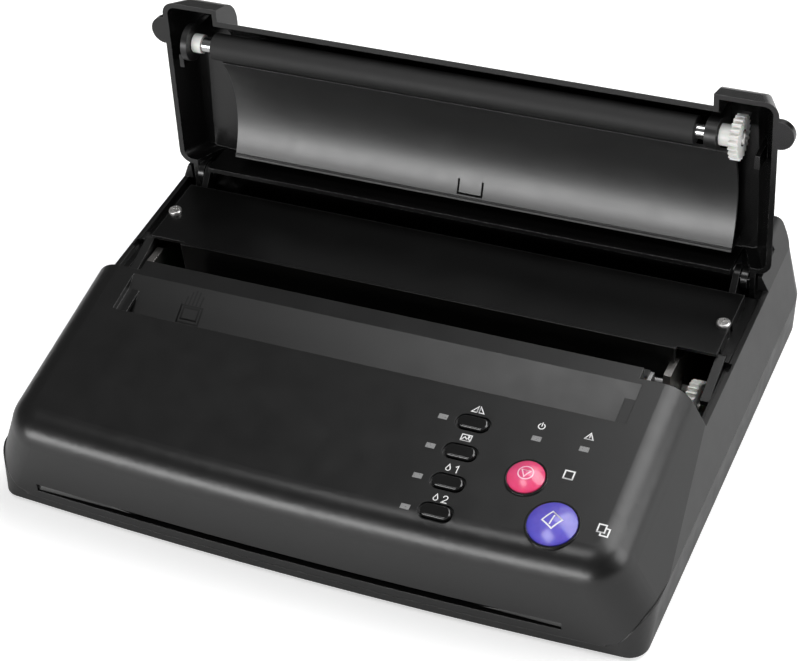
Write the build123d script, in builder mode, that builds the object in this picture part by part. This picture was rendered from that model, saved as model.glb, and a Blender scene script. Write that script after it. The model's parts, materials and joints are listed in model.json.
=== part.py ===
from build123d import *
import math
import os

# Thermal stencil copier with its lid standing open. Millimetres, +Z up, +Y to the back.
# The origin is the middle of the footprint, on the table under the rubber feet.
# Pieces of the lid are drawn with the lid shut and then turned open round the hinge.

os.makedirs("parts", exist_ok=True)

# ---------------------------------------------------------------- case sizes
FOOT_PROUD = 2.0            # rubber feet below the lower case
LIP_H = 4.0                 # lower case at the front, below the paper exit
SIDE_H = 18.5               # lower case along the sides and the back
RAIL_H = 40.0               # side rails that the lid closes on
HUMP_H = 56.5               # ridge behind the hinge
BASE_HALF_W = 142.8
SEAM_HALF_W = 144.4         # widest line of the case
RAIL_HALF_W = 139.0
CASE_DEPTH = 212.4
FRONT_BOW = 3.8             # the front face bulges forward by this much
CASE_WALL = 2.4
SEAM_GAP = 0.3              # shadow line between the two case halves
UPPER_LEAN = 24.0           # lean of the case sides above the rails
FRONT_CORNER_R = 17.0
BASE_CORNER_R = 8.0
REAR_CORNER_R = 12.0
RAIL_REAR_CORNER_R = 6.0
PANEL_EDGE_R = 13.0
HUMP_EDGE_R = 9.0
HUMP_REAR_WALL = 2.8        # the ridge's back wall is a little thicker than the rest

CASE_FRONT_Y = -CASE_DEPTH / 2
CASE_REAR_Y = CASE_DEPTH / 2
FLOOR_Z = FOOT_PROUD
LIP_Z = FLOOR_Z + LIP_H
SEAM_Z = FLOOR_Z + SIDE_H
RAIL_Z = FLOOR_Z + RAIL_H
HUMP_Z = FLOOR_Z + HUMP_H
SIDE_SLOPE = (SEAM_HALF_W - RAIL_HALF_W) / (RAIL_Z - SEAM_Z)
UPPER_SLOPE = math.tan(math.radians(UPPER_LEAN))

# ---------------------------------------------------------------- control panel
PANEL_SLOPE = 8.85
SLOT_REAR_Y = -16.0         # rear edge of the document slot
SLOT_REAR_Z = FLOOR_Z + 57.8
PANEL_REAR_Y = -8.0         # rear edge of the panel between the lid's corners
PANEL_NOTCH_Y = -13.4       # rear edge of the panel beside them
NOTCH_HALF_W = 112.2
PANEL_RAIL_DROP = 17.6      # panel surface down to the line of the rails

PANEL_RAD = math.radians(PANEL_SLOPE)
PANEL_PLANE = Plane(
    origin=(0, SLOT_REAR_Y, SLOT_REAR_Z),
    x_dir=(1, 0, 0),
    z_dir=(0, -math.sin(PANEL_RAD), math.cos(PANEL_RAD)),
)

# ---------------------------------------------------------------- hinge
HINGE_Y = 73.8
HINGE_Z = 45.1
LID_OPEN = 96.6             # the lid's angle from shut to leaning on the ridge
LID_REAR_R = 14.2           # rear edge of the lid, round the hinge axis
TROUGH_GAP = 0.7
TROUGH_WALL = 2.0
HUMP_FRONT_Y = 90.0
CHEEK_FRONT_Y = 71.0        # low cheeks run forward beside the hinge from here
CHEEK_HALF_W = 134.2
CHEEK_Z = RAIL_Z + 7.0
HINGE_AXIS = Axis((0, HINGE_Y, HINGE_Z), (1, 0, 0))


def panel_z(y):
    """Height of the control panel's surface at y."""
    return SLOT_REAR_Z + (y - SLOT_REAR_Y) * math.tan(PANEL_RAD)


def on_panel(x, y):
    """Local place on the panel's plane of the surface point over x, y."""
    return (x, (y - SLOT_REAR_Y) / math.cos(PANEL_RAD))


def box_between(x, y, z):
    """A plain block given by its limits along X, Y and Z."""
    with BuildPart() as block:
        with Locations(((x[0] + x[1]) / 2, (y[0] + y[1]) / 2, (z[0] + z[1]) / 2)):
            Box(x[1] - x[0], y[1] - y[0], z[1] - z[0])
    return block.part


def extruded_along_x(points, x_from, x_to):
    """A prism along X with its outline given as y, z points."""
    with BuildPart() as prism:
        with BuildSketch(Plane.YZ.offset(x_from)):
            with BuildLine():
                Polyline(*points, close=True)
            make_face()
        extrude(amount=x_to - x_from)
    return prism.part


def x_cylinder(radius, x_from, x_to, y, z):
    """A round bar along X."""
    with BuildPart() as bar:
        with BuildSketch(Plane.YZ.offset(x_from)):
            with Locations((y, z)):
                Circle(radius)
        extrude(amount=x_to - x_from)
    return bar.part


def both_sides(part):
    """The part and its mirror image on the other side of the machine."""
    return part + part.mirror(Plane.YZ)


# ---------------------------------------------------------------- case forms
def case_outline(z, half_w, front_r, rear_r, inset):
    """One level of the case: straight sides and back, bowed front, round corners."""
    side = half_w - inset
    front = CASE_FRONT_Y + inset
    rear = CASE_REAR_Y - inset
    with BuildSketch(Plane.XY.offset(z)) as level:
        with BuildLine():
            Polyline((-side, front + FRONT_BOW), (-side, rear), (side, rear), (side, front + FRONT_BOW))
            ThreePointArc((side, front + FRONT_BOW), (0, front), (-side, front + FRONT_BOW))
        make_face()
        fillet(level.vertices().group_by(Axis.Y)[0], front_r - inset)
        fillet(level.vertices().group_by(Axis.Y)[-1], rear_r - inset)
    return level.sketch.face()


def tray_form(inset, bottom_z):
    """The case from its floor to the seam."""
    levels = [
        case_outline(bottom_z, BASE_HALF_W, BASE_CORNER_R, REAR_CORNER_R, inset),
        case_outline(SEAM_Z, SEAM_HALF_W, FRONT_CORNER_R, REAR_CORNER_R, inset),
    ]
    with BuildPart() as form:
        loft(levels, ruled=True)
    return form.part


def rail_form(inset):
    """The case from the seam to the rails, behind the control panel."""
    levels = [
        case_outline(SEAM_Z, SEAM_HALF_W, FRONT_CORNER_R, REAR_CORNER_R, inset),
        case_outline(RAIL_Z, RAIL_HALF_W, FRONT_CORNER_R, RAIL_REAR_CORNER_R, inset),
    ]
    with BuildPart() as form:
        loft(levels, ruled=True)
    return form.part & box_between((-200, 200), (PANEL_NOTCH_Y, 200), (SEAM_Z, RAIL_Z))


def panel_section(depth, skin):
    """The control panel's outline at a depth under its surface, with its edges rounded."""
    radius = PANEL_EDGE_R - skin
    side_turn = math.radians(90.0 - UPPER_LEAN)
    front_turn = math.radians(90.0 - PANEL_SLOPE)
    sunk = depth - skin
    turn = math.acos(max(1.0 - sunk / radius, -1.0)) if sunk < radius else math.pi / 2
    side_out = radius * math.sin(min(turn, side_turn))
    side_out += max(sunk - radius * (1 - math.cos(side_turn)), 0.0) * UPPER_SLOPE
    front_out = radius * math.sin(min(turn, front_turn))
    front_out += max(sunk - radius * (1 - math.cos(front_turn)), 0.0) * math.tan(PANEL_RAD)
    top_half_w = RAIL_HALF_W - PANEL_RAIL_DROP * UPPER_SLOPE
    side_centre = top_half_w - PANEL_EDGE_R * math.tan(side_turn / 2)
    front_edge = (CASE_FRONT_Y - SLOT_REAR_Y) / math.cos(PANEL_RAD)
    front_centre = front_edge + PANEL_EDGE_R * math.tan(front_turn / 2)
    half_w = side_centre + side_out
    front = front_centre - front_out
    corner = FRONT_CORNER_R - PANEL_EDGE_R + min(front_out, radius)
    with BuildSketch(PANEL_PLANE.offset(-depth)) as level:
        with BuildLine():
            Polyline((-half_w, front + FRONT_BOW), (-half_w, CASE_REAR_Y), (half_w, CASE_REAR_Y))
            Line((half_w, CASE_REAR_Y), (half_w, front + FRONT_BOW))
            ThreePointArc((half_w, front + FRONT_BOW), (0, front), (-half_w, front + FRONT_BOW))
        make_face()
        fillet(level.vertices().group_by(Axis.Y)[0], corner)
    return level.sketch.face()


def panel_form(skin):
    """Solid under the control panel, down to the table, shrunk by the skin."""
    radius = PANEL_EDGE_R - skin
    turns = (0.0, 14.0, 28.0, 42.0, 55.0, 68.0, 90.0 - PANEL_SLOPE)
    depths = [skin + radius * (1 - math.cos(math.radians(turn))) for turn in turns]
    deep = SLOT_REAR_Z + 10.0
    with BuildPart() as rounded:
        loft([panel_section(depth, skin) for depth in depths])
    with BuildPart() as straight:
        loft([panel_section(depths[-1], skin), panel_section(deep, skin)], ruled=True)
    form = rounded.part + straight.part
    reach = SEAM_HALF_W - skin + SEAM_Z * SIDE_SLOPE
    high = SEAM_HALF_W - skin - (90.0 - SEAM_Z) * SIDE_SLOPE
    with BuildPart() as between_sides:
        with BuildSketch(Plane.XZ.offset(-60.0)):
            with BuildLine():
                Polyline((-reach, 0), (-high, 90), (high, 90), (reach, 0), close=True)
            make_face()
        extrude(amount=260.0)
    return form & between_sides.part


def seam_region(lift):
    """Everything over the seam, which dips to the lip in front of the corners."""
    turn_r = SEAM_Z - LIP_Z
    turn_y = CASE_FRONT_Y + FRONT_BOW + turn_r - 1.0
    half_turn = turn_r * math.sqrt(0.5)
    with BuildPart() as region:
        with BuildSketch(Plane.YZ):
            with BuildLine():
                Line((-200, LIP_Z + lift), (turn_y - turn_r, LIP_Z + lift))
                ThreePointArc(
                    (turn_y - turn_r, LIP_Z + lift),
                    (turn_y - half_turn, LIP_Z + half_turn + lift),
                    (turn_y, SEAM_Z + lift),
                )
                Polyline((turn_y, SEAM_Z + lift), (200, SEAM_Z + lift), (200, 150), (-200, 150))
                Line((-200, 150), (-200, LIP_Z + lift))
            make_face()
        extrude(amount=200, both=True)
    return region.part


def leaning_bar(half_w, foot_z, top_z, y_from, y_to, edge_r):
    """A bar along Y whose sides lean in, with its upper edges rounded."""
    top_w = half_w - (top_z - foot_z) * UPPER_SLOPE
    with BuildPart() as bar:
        with BuildSketch(Plane.XZ.offset(-y_to)) as profile:
            with BuildLine():
                Polyline((-half_w, foot_z), (-top_w, top_z), (top_w, top_z), (half_w, foot_z), close=True)
            make_face()
            fillet(profile.vertices().group_by(Axis.Y)[-1], edge_r)
        extrude(amount=y_to - y_from)
    return bar.part


def hump_form(inset):
    """The ridge behind the hinge with its cheeks, over the rails."""
    foot_z = RAIL_Z - inset
    half_w = RAIL_HALF_W - inset * (1 - UPPER_SLOPE)
    rear = CASE_REAR_Y - inset
    form = leaning_bar(half_w, foot_z, HUMP_Z - inset, CHEEK_FRONT_Y, rear, HUMP_EDGE_R - inset)
    back_corner = RAIL_REAR_CORNER_R - inset
    with BuildPart() as rounded:
        with BuildSketch(Plane.YZ.offset(-RAIL_HALF_W)) as side:
            with BuildLine():
                Polyline((0, foot_z), (0, HUMP_Z), (rear, HUMP_Z - inset), (rear, foot_z), close=True)
            make_face()
            fillet(side.vertices().sort_by(Axis.X)[-2:].sort_by(Axis.Y)[-1], HUMP_EDGE_R - inset)
        extrude(amount=2 * RAIL_HALF_W)
        with BuildSketch(Plane.XY.offset(foot_z)) as plan:
            Rectangle(2 * half_w, 2 * rear)
            fillet(plan.vertices(), back_corner)
        extrude(amount=HUMP_H, mode=Mode.INTERSECT)
    return form & rounded.part



# ---------------------------------------------------------------- sizes on the panel
SLOT_HALF_W = 114.1
SLOT_DEPTH_Y = 19.9         # document slot, back to front
SLOT_LEDGE_W = 5.1
SLOT_LEDGE_DROP = 2.5
PATH_BREAK = (-50.0, FLOOR_Z + 38.0)    # the document's way turns a little here
PATH_EXIT = (-104.0, FLOOR_Z + 10.0)
EXIT_SLOT_Z = (FLOOR_Z + 8.1, FLOOR_Z + 11.9)
EXIT_SLOT_X = (-122.0, 111.0)
KEY_PLACES = ((56.8, -51.4), (57.1, -65.7), (57.8, -80.3), (58.4, -94.3))
KEY_NAMES = ("key_mirror", "key_photo", "key_depth_1", "key_depth_2")
KEY_LENGTH = 12.5
KEY_WIDTH = 5.8
KEY_WELL_MARGIN = 1.1
KEY_WELL_DEPTH = 1.1
KEY_PROUD = 1.0
LAMP_PLACES = (
    (44.1, -51.5),
    (44.6, -65.9),
    (45.2, -80.5),
    (46.1, -95.2),
    (83.4, -51.7),
    (102.9, -51.5),
)
LAMP_LENGTH = 3.8
LAMP_WIDTH = 2.3
STOP_PLACE = (86.1, -70.1)
STOP_R = 7.4
COPY_PLACE = (103.3, -87.6)
COPY_R = 9.7
RING_W = 1.1
RING_PROUD = 0.5
DOME_PROUD = 3.2
MOVING_GAP = 0.3            # between a moving piece and the case round it
FLANGE_W = 1.0
FLANGE_T = 1.1
PRESS_TRAVEL = 1.2
BOARD_T = 1.6
KEY_BOARD_DEPTH = 9.0       # panel surface down to the key board
SWITCH_BODY_H = 2.6
SWITCH_BODY_W = 6.0

# ---------------------------------------------------------------- sizes of the well
SHELF_Z = FLOOR_Z + 29.6
SHELF_FRONT_Y = 56.0
LEDGE_Z = FLOOR_Z + 36.5
LEDGE_T = 2.0
LEDGE_WIDE_X = 129.0
LEDGE_NARROW_X = 134.6
DECK_TOP_Z = FLOOR_Z + 42.5
DECK_T = 1.5
DECK_HALF_W = 131.0
DECK_FRONT_Y = 21.8
DECK_REAR_Y = 63.3
DECK_LIP_Z = FLOOR_Z + 44.0
POCKET_X = (114.3, 127.0)
PLATE_RIGHT_X = (112.2, 115.4)
PLATE_LEFT_X = (-129.4, -126.0)
SKIRT_FOOT_Z = FLOOR_Z + 26.5   # the deck's front skirt closes the view into the machine
POCKET_REAR_Y = 25.2
DECK_SCREW_X = 128.2
DECK_SCREW_Y = 43.1
SCREW_POST_R = 2.8
SCREW_SHANK_R = 1.45
SCREW_PILOT_R = 1.5
SCREW_HEAD_R = 3.0
SCREW_HEAD_H = 1.8
BASE_SCREW_PLACES = ((-126.0, -80.0), (126.0, -80.0), (-126.0, 97.0), (126.0, 97.0))
BASE_POST_R = 4.0
BASE_POST_Z = FLOOR_Z + 22.5
INNER_FLOOR_Z = FLOOR_Z + CASE_WALL


def path_z(y):
    """Height of the document's way at y."""
    start = (SLOT_REAR_Y, SLOT_REAR_Z) if y > PATH_BREAK[0] else PATH_BREAK
    end = PATH_BREAK if y > PATH_BREAK[0] else PATH_EXIT
    return start[1] + (y - start[0]) * (end[1] - start[1]) / (end[0] - start[0])


def sheet_along_path(y_from, y_to, thickness, drop, half_w):
    """A sheet just under the document's way between two places along it."""
    turns = [y_from] + [y for y in (PATH_BREAK[0],) if y_to < y < y_from] + [y_to]
    upper = [(y, path_z(y) - drop) for y in turns]
    lower = [(y, path_z(y) - drop - thickness) for y in reversed(turns)]
    return extruded_along_x(upper + lower, -half_w, half_w)


def on_panel_prism(x, y_range, depth_range):
    """A block square to the panel, its place along Y given on the panel's surface."""
    with BuildPart() as block:
        with BuildSketch(PANEL_PLANE.offset(-depth_range[1])):
            with Locations(on_panel((x[0] + x[1]) / 2, (y_range[0] + y_range[1]) / 2)):
                Rectangle(x[1] - x[0], (y_range[1] - y_range[0]) / math.cos(PANEL_RAD))
        extrude(amount=depth_range[1] - depth_range[0])
    return block.part


def panel_discs(places, radius, depth_range):
    """Round bars square to the panel between two depths."""
    with BuildPart() as bars:
        with BuildSketch(PANEL_PLANE.offset(-depth_range[1])):
            with Locations(*[on_panel(x, y) for x, y in places]):
                Circle(radius)
        extrude(amount=depth_range[1] - depth_range[0])
    return bars.part


def panel_pills(places, length, width, depth_range):
    """Round-ended bars square to the panel between two depths."""
    with BuildPart() as bars:
        with BuildSketch(PANEL_PLANE.offset(-depth_range[1])):
            with Locations(*[on_panel(x, y) for x, y in places]):
                SlotOverall(length, width)
        extrude(amount=depth_range[1] - depth_range[0])
    return bars.part


def panel_tiles(places, length, width, depth_range):
    """Small rectangular bars square to the panel between two depths."""
    with BuildPart() as bars:
        with BuildSketch(PANEL_PLANE.offset(-depth_range[1])):
            with Locations(*[on_panel(x, y) for x, y in places]):
                Rectangle(length, width)
        extrude(amount=depth_range[1] - depth_range[0])
    return bars.part


def posts(places, radius, z_from, z_to):
    """Upright round posts, or the holes for them."""
    with BuildPart() as columns:
        with BuildSketch(Plane.XY.offset(z_from)):
            with Locations(*places):
                Circle(radius)
        extrude(amount=z_to - z_from)
    return columns.part


def ring_sector(inner_r, outer_r, from_deg, to_deg, half_w):
    """Part of a tube round the hinge axis, angles from +Y towards +Z."""
    with BuildPart() as sector:
        with BuildSketch(Plane.YZ.offset(-half_w)):
            with Locations((HINGE_Y, HINGE_Z)):
                Circle(outer_r)
                Circle(inner_r, mode=Mode.SUBTRACT)
        extrude(amount=2 * half_w)
    reach = 4 * outer_r
    turns = [from_deg + (to_deg - from_deg) * step / 4 for step in range(5)]
    fan = [(HINGE_Y, HINGE_Z)] + [
        (HINGE_Y + reach * math.cos(math.radians(turn)), HINGE_Z + reach * math.sin(math.radians(turn)))
        for turn in turns
    ]
    return sector.part & extruded_along_x(fan, -half_w, half_w)


# ---------------------------------------------------------------- upper case
WIDE = (-200.0, 200.0)


def panel_limit(inset):
    """How far back the panel block reaches, narrower beside the lid's corners."""
    notch = box_between(WIDE, (-200, PANEL_NOTCH_Y - inset), (0, 200))
    middle_half_w = NOTCH_HALF_W - inset
    middle = box_between((-middle_half_w, middle_half_w), (-200, PANEL_REAR_Y - inset), (0, 200))
    return notch + middle


ridge_solid = (
    hump_form(0)
    - box_between((-CHEEK_HALF_W, CHEEK_HALF_W), (0, HUMP_FRONT_Y), (0, 200))
    - box_between(WIDE, (0, HUMP_FRONT_Y), (CHEEK_Z, 200))
)
case_solid = (panel_form(0) & panel_limit(0)) + rail_form(0) + ridge_solid
case_solid = case_solid & seam_region(0)
panel_room = panel_form(CASE_WALL) & (
    panel_limit(CASE_WALL) + box_between(WIDE, (-200, PANEL_NOTCH_Y), (0, RAIL_Z))
)
ridge_room = hump_form(CASE_WALL) & box_between(
    WIDE, (HUMP_FRONT_Y + CASE_WALL, CASE_REAR_Y - HUMP_REAR_WALL), (0, 200)
)
case_room = panel_room + rail_form(CASE_WALL) + ridge_room

DOC_SLOT_Y = (SLOT_REAR_Y - SLOT_DEPTH_Y, SLOT_REAR_Y)
SLOT_CUT_DEPTH = 6.0
trough_r = LID_REAR_R + TROUGH_GAP
trough = ring_sector(trough_r, trough_r + TROUGH_WALL, -115.0, 5.0, SEAM_HALF_W)
shelf = box_between(
    (-SEAM_HALF_W, SEAM_HALF_W), (SHELF_FRONT_Y, HINGE_Y + trough_r * math.cos(math.radians(-115.0))),
    (SHELF_Z - TROUGH_WALL, SHELF_Z),
)
ledges = both_sides(
    box_between((LEDGE_WIDE_X, SEAM_HALF_W), (30, CHEEK_FRONT_Y - 2), (LEDGE_Z - LEDGE_T, LEDGE_Z))
    + box_between((LEDGE_NARROW_X, SEAM_HALF_W), (PANEL_REAR_Y - 6, 30), (LEDGE_Z - LEDGE_T, LEDGE_Z))
)
LEVER_PIVOT_Y = 27.0
LEVER_PIVOT_Z = FLOOR_Z + 38.6
LEVER_PIN_R = 1.2
LEVER_LUG_T = 1.7
lever_lugs = both_sides(
    box_between(
        (LEDGE_NARROW_X, LEDGE_NARROW_X + LEVER_LUG_T),
        (LEVER_PIVOT_Y - 2.5, LEVER_PIVOT_Y + 2.5),
        (LEDGE_Z - LEDGE_T, LEVER_PIVOT_Z + 2.5),
    )
)
deck_post_places = ((-DECK_SCREW_X, DECK_SCREW_Y), (DECK_SCREW_X, DECK_SCREW_Y))
deck_posts = posts(deck_post_places, SCREW_POST_R, LEDGE_Z - 10, DECK_TOP_Z - DECK_T)
deck_post_holes = posts(deck_post_places, SCREW_PILOT_R, LEDGE_Z - 6, DECK_TOP_Z)
ramp_foot_y = -37.0
ramp = extruded_along_x(
    [
        (SLOT_REAR_Y, SLOT_REAR_Z),
        (ramp_foot_y, path_z(ramp_foot_y)),
        (ramp_foot_y + 0.9, path_z(ramp_foot_y) - 1.4),
        (SLOT_REAR_Y + 4, SLOT_REAR_Z - 1.4),
        (SLOT_REAR_Y + 4, panel_z(SLOT_REAR_Y + 4) - 0.2),
    ],
    -SLOT_HALF_W - 1.6,
    SLOT_HALF_W + 1.6,
)
slot_ends = both_sides(
    extruded_along_x(
        [
            (SLOT_REAR_Y + 2, SLOT_REAR_Z - 1.0),
            (SLOT_REAR_Y + 2, SLOT_REAR_Z),
            (DOC_SLOT_Y[0] - 2, panel_z(DOC_SLOT_Y[0] - 2) - 0.5),
            (DOC_SLOT_Y[0] - 2, path_z(DOC_SLOT_Y[0] - 2) - 0.5),
        ],
        SLOT_HALF_W,
        SLOT_HALF_W + 1.6,
    )
    + on_panel_prism(
        (SLOT_HALF_W - SLOT_LEDGE_W, SLOT_HALF_W + 0.5),
        DOC_SLOT_Y,
        (SLOT_LEDGE_DROP, SLOT_LEDGE_DROP + 1.6),
    )
)
base_posts = posts(BASE_SCREW_PLACES, BASE_POST_R, BASE_POST_Z, HUMP_Z) & case_solid
base_post_holes = posts(BASE_SCREW_PLACES, SCREW_PILOT_R, 0, BASE_POST_Z + 15)
BOARD_POST_PLACES = ((41.0, -57.5), (41.0, -88.0), (72.0, -57.5), (115.5, -66.0))
board_posts = panel_discs(BOARD_POST_PLACES, 2.4, (CASE_WALL - 0.5, KEY_BOARD_DEPTH))
board_post_holes = panel_discs(BOARD_POST_PLACES, 1.05, (CASE_WALL + 2, KEY_BOARD_DEPTH + 5))
sill = KEY_WELL_DEPTH
key_wells = panel_pills(
    KEY_PLACES, KEY_LENGTH + 2 * KEY_WELL_MARGIN, KEY_WIDTH + 2 * KEY_WELL_MARGIN, (-2.0, sill)
) + panel_pills(
    KEY_PLACES, KEY_LENGTH + 2 * MOVING_GAP, KEY_WIDTH + 2 * MOVING_GAP, (sill - 0.5, CASE_WALL + 3)
)
flange_room = 2 * (FLANGE_W + MOVING_GAP)
key_wells += panel_pills(
    KEY_PLACES, KEY_LENGTH + flange_room, KEY_WIDTH + flange_room, (CASE_WALL, CASE_WALL + 4)
)
lamp_holes = panel_tiles(LAMP_PLACES, LAMP_LENGTH, LAMP_WIDTH, (-2.0, CASE_WALL + 3))
stop_hole = panel_discs([STOP_PLACE], STOP_R + RING_W, (-3.0, CASE_WALL + 3))
copy_hole = panel_discs([COPY_PLACE], COPY_R + RING_W, (-3.0, CASE_WALL + 3))

INLET_X = -96.0
SWITCH_X = -62.0
SOCKET_Z = FLOOR_Z + 31.0
INLET_W = 27.0
INLET_H = 19.6
SWITCH_W = 13.0
SWITCH_H = 19.4
socket_holes = box_between(
    (INLET_X - INLET_W / 2, INLET_X + INLET_W / 2), (CASE_REAR_Y - 5, CASE_REAR_Y + 5),
    (SOCKET_Z - INLET_H / 2, SOCKET_Z + INLET_H / 2),
) + box_between(
    (SWITCH_X - SWITCH_W / 2, SWITCH_X + SWITCH_W / 2), (CASE_REAR_Y - 5, CASE_REAR_Y + 5),
    (SOCKET_Z - SWITCH_H / 2, SOCKET_Z + SWITCH_H / 2),
)
lever_bore = x_cylinder(
    LEVER_PIN_R + 0.05, LEDGE_NARROW_X, LEDGE_NARROW_X + 1.8, LEVER_PIVOT_Y, LEVER_PIVOT_Z
)
rail_notches = both_sides(box_between((134.0, RAIL_HALF_W - 1.0), (19, 24), (LEDGE_Z + 0.5, RAIL_Z)))

shell = case_solid - case_room
with BuildPart() as upper_case:
    add(shell)
    add((trough + shelf + ledges + lever_lugs) & case_solid)
    add(deck_posts)
    add(deck_post_holes, mode=Mode.SUBTRACT)
    add(on_panel_prism((-SLOT_HALF_W, SLOT_HALF_W), DOC_SLOT_Y, (-3.0, SLOT_CUT_DEPTH)), mode=Mode.SUBTRACT)
    add((ramp + slot_ends) & case_solid)
    add(base_posts + board_posts)
    add(base_post_holes, mode=Mode.SUBTRACT)
    add(board_post_holes, mode=Mode.SUBTRACT)
    add(key_wells, mode=Mode.SUBTRACT)
    add(lamp_holes + stop_hole + copy_hole, mode=Mode.SUBTRACT)
    add(box_between(EXIT_SLOT_X, (CASE_FRONT_Y - 4, -98.0), EXIT_SLOT_Z), mode=Mode.SUBTRACT)
    add(socket_holes, mode=Mode.SUBTRACT)
    add(rail_notches, mode=Mode.SUBTRACT)
    add(both_sides(lever_bore), mode=Mode.SUBTRACT)
upper_case.part.label = "upper_case"
export_step(upper_case.part, "parts/upper_case.step")

# ---------------------------------------------------------------- lower case
FOOT_R = 8.0
FOOT_PLACES = ((-104.0, -78.0), (104.0, -78.0), (-104.0, 86.0), (104.0, 86.0))
SCREW_SINK_R = 3.6
STANDOFF_H = 7.0
BOARD_Z = INNER_FLOOR_Z + STANDOFF_H
BOARD_SCREW_R = 1.0
BOARD_SCREW_HEAD_R = 2.0
BOARD_SCREW_HEAD_H = 1.3
MAIN_BOARD = ((-14.0, 84.0), (22.0, 96.0))
POWER_BOARD = ((-118.0, -22.0), (22.0, 96.0))
SPRING_PLACES = ((-70.0, 6.5), (70.0, 6.5))
SPRING_SEAT_Z = INNER_FLOOR_Z + 3.0
FLAG_X = (25.0, 28.0)       # the paper flag turns on a pin between its stand and the guide
FLAG_PIVOT = (-62.0, FLOOR_Z + 24.0)
FLAG_PIN_R = 1.2
FEED_PLATE_X = (112.0, 114.0)
SENSOR_Y = -80.0
SENSOR_W = 13.0
GUIDE_T = 1.5
GUIDE_DROP = 0.2
PATH_SLOPE = math.atan2(PATH_BREAK[1] - PATH_EXIT[1], PATH_BREAK[0] - PATH_EXIT[0])


def board_corners(limits, margin):
    """Places of the four fixings of a board."""
    (x_from, x_to), (y_from, y_to) = limits
    return [(x, y) for x in (x_from + margin, x_to - margin) for y in (y_from + margin, y_to - margin)]


FIXINGS = board_corners(MAIN_BOARD, 4.5) + board_corners(POWER_BOARD, 4.5)
stand_x = (FLAG_X[0] - 3.5, FLAG_X[0] - 0.5)
flag_stand = (
    box_between(
        stand_x, (FLAG_PIVOT[0] - 4, FLAG_PIVOT[0] + 4), (INNER_FLOOR_Z - 1, FLAG_PIVOT[1] + 3.0)
    )
    + x_cylinder(FLAG_PIN_R, stand_x[1], FLAG_X[1] + 1.0, *FLAG_PIVOT)
)
EXIT_RIB_Y = -96.0
exit_from = SENSOR_Y - (SENSOR_W / 2) * math.cos(PATH_SLOPE) - 1.6
exit_guide = sheet_along_path(exit_from, -100.0, GUIDE_T, GUIDE_DROP, FEED_PLATE_X[0] - 2.0)
for rib_x in (-80.0, 0.0, 80.0):
    exit_guide += box_between(
        (rib_x - 1.0, rib_x + 1.0), (EXIT_RIB_Y - 3, EXIT_RIB_Y + 3),
        (INNER_FLOOR_Z - 1, path_z(EXIT_RIB_Y) - GUIDE_DROP - GUIDE_T / 2),
    )
tray = tray_form(0, FLOOR_Z) - tray_form(CASE_WALL, INNER_FLOOR_Z) - seam_region(-SEAM_GAP)
with BuildPart() as lower_case:
    add(tray)
    add(posts(BASE_SCREW_PLACES, BASE_POST_R + 1.2, INNER_FLOOR_Z - 1, BASE_POST_Z - SEAM_GAP))
    add(posts(BASE_SCREW_PLACES, SCREW_PILOT_R + 0.3, 0, BASE_POST_Z), mode=Mode.SUBTRACT)
    add(posts(BASE_SCREW_PLACES, SCREW_SINK_R, 0, FLOOR_Z + 3.4), mode=Mode.SUBTRACT)
    add(posts(FIXINGS, 2.8, INNER_FLOOR_Z - 1, BOARD_Z))
    add(posts(FIXINGS, BOARD_SCREW_R + 0.05, INNER_FLOOR_Z, BOARD_Z), mode=Mode.SUBTRACT)
    add(posts(SPRING_PLACES, 6.0, INNER_FLOOR_Z - 1, SPRING_SEAT_Z))
    add(posts(SPRING_PLACES, 2.0, SPRING_SEAT_Z, SPRING_SEAT_Z + 4.0))
    add(flag_stand + exit_guide)
lower_case.part.label = "lower_case"
export_step(lower_case.part, "parts/lower_case.step")


with BuildPart() as feet:
    add(posts(FOOT_PLACES, FOOT_R, 0, FLOOR_Z))
    chamfer(feet.faces().sort_by(Axis.Z)[:4].edges(), 0.5)
feet.part.label = "feet"
export_step(feet.part, "parts/feet.step")


def cross_screws(places, head_z, head_h, head_r, tip_z, shank_r):
    """Pan head screws with a cross recess, heads up or down by the sign of head_h."""
    with BuildPart() as screws:
        add(posts(places, head_r, min(head_z, head_z + head_h), max(head_z, head_z + head_h)))
        rims = screws.edges().filter_by(GeomType.CIRCLE).filter_by_position(
            Axis.Z, head_z + head_h - 0.01, head_z + head_h + 0.01
        )
        fillet(rims, 0.45 * abs(head_h))
        add(posts(places, shank_r, min(head_z, tip_z), max(head_z, tip_z)))
        recess_z = head_z + head_h - (0.5 * head_h if head_h > 0 else 0)
        with BuildSketch(Plane.XY.offset(recess_z)):
            with Locations(*places):
                Rectangle(1.3 * head_r, 0.28 * head_r)
                Rectangle(0.28 * head_r, 1.3 * head_r)
        extrude(amount=0.5 * abs(head_h), mode=Mode.SUBTRACT)
    return screws.part


with BuildPart() as base_screws:
    add(cross_screws(BASE_SCREW_PLACES, FLOOR_Z + 3.4, -1.8, 3.2, BASE_POST_Z + 13, SCREW_SHANK_R))
base_screws.part.label = "base_screws"
export_step(base_screws.part, "parts/base_screws.step")

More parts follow.
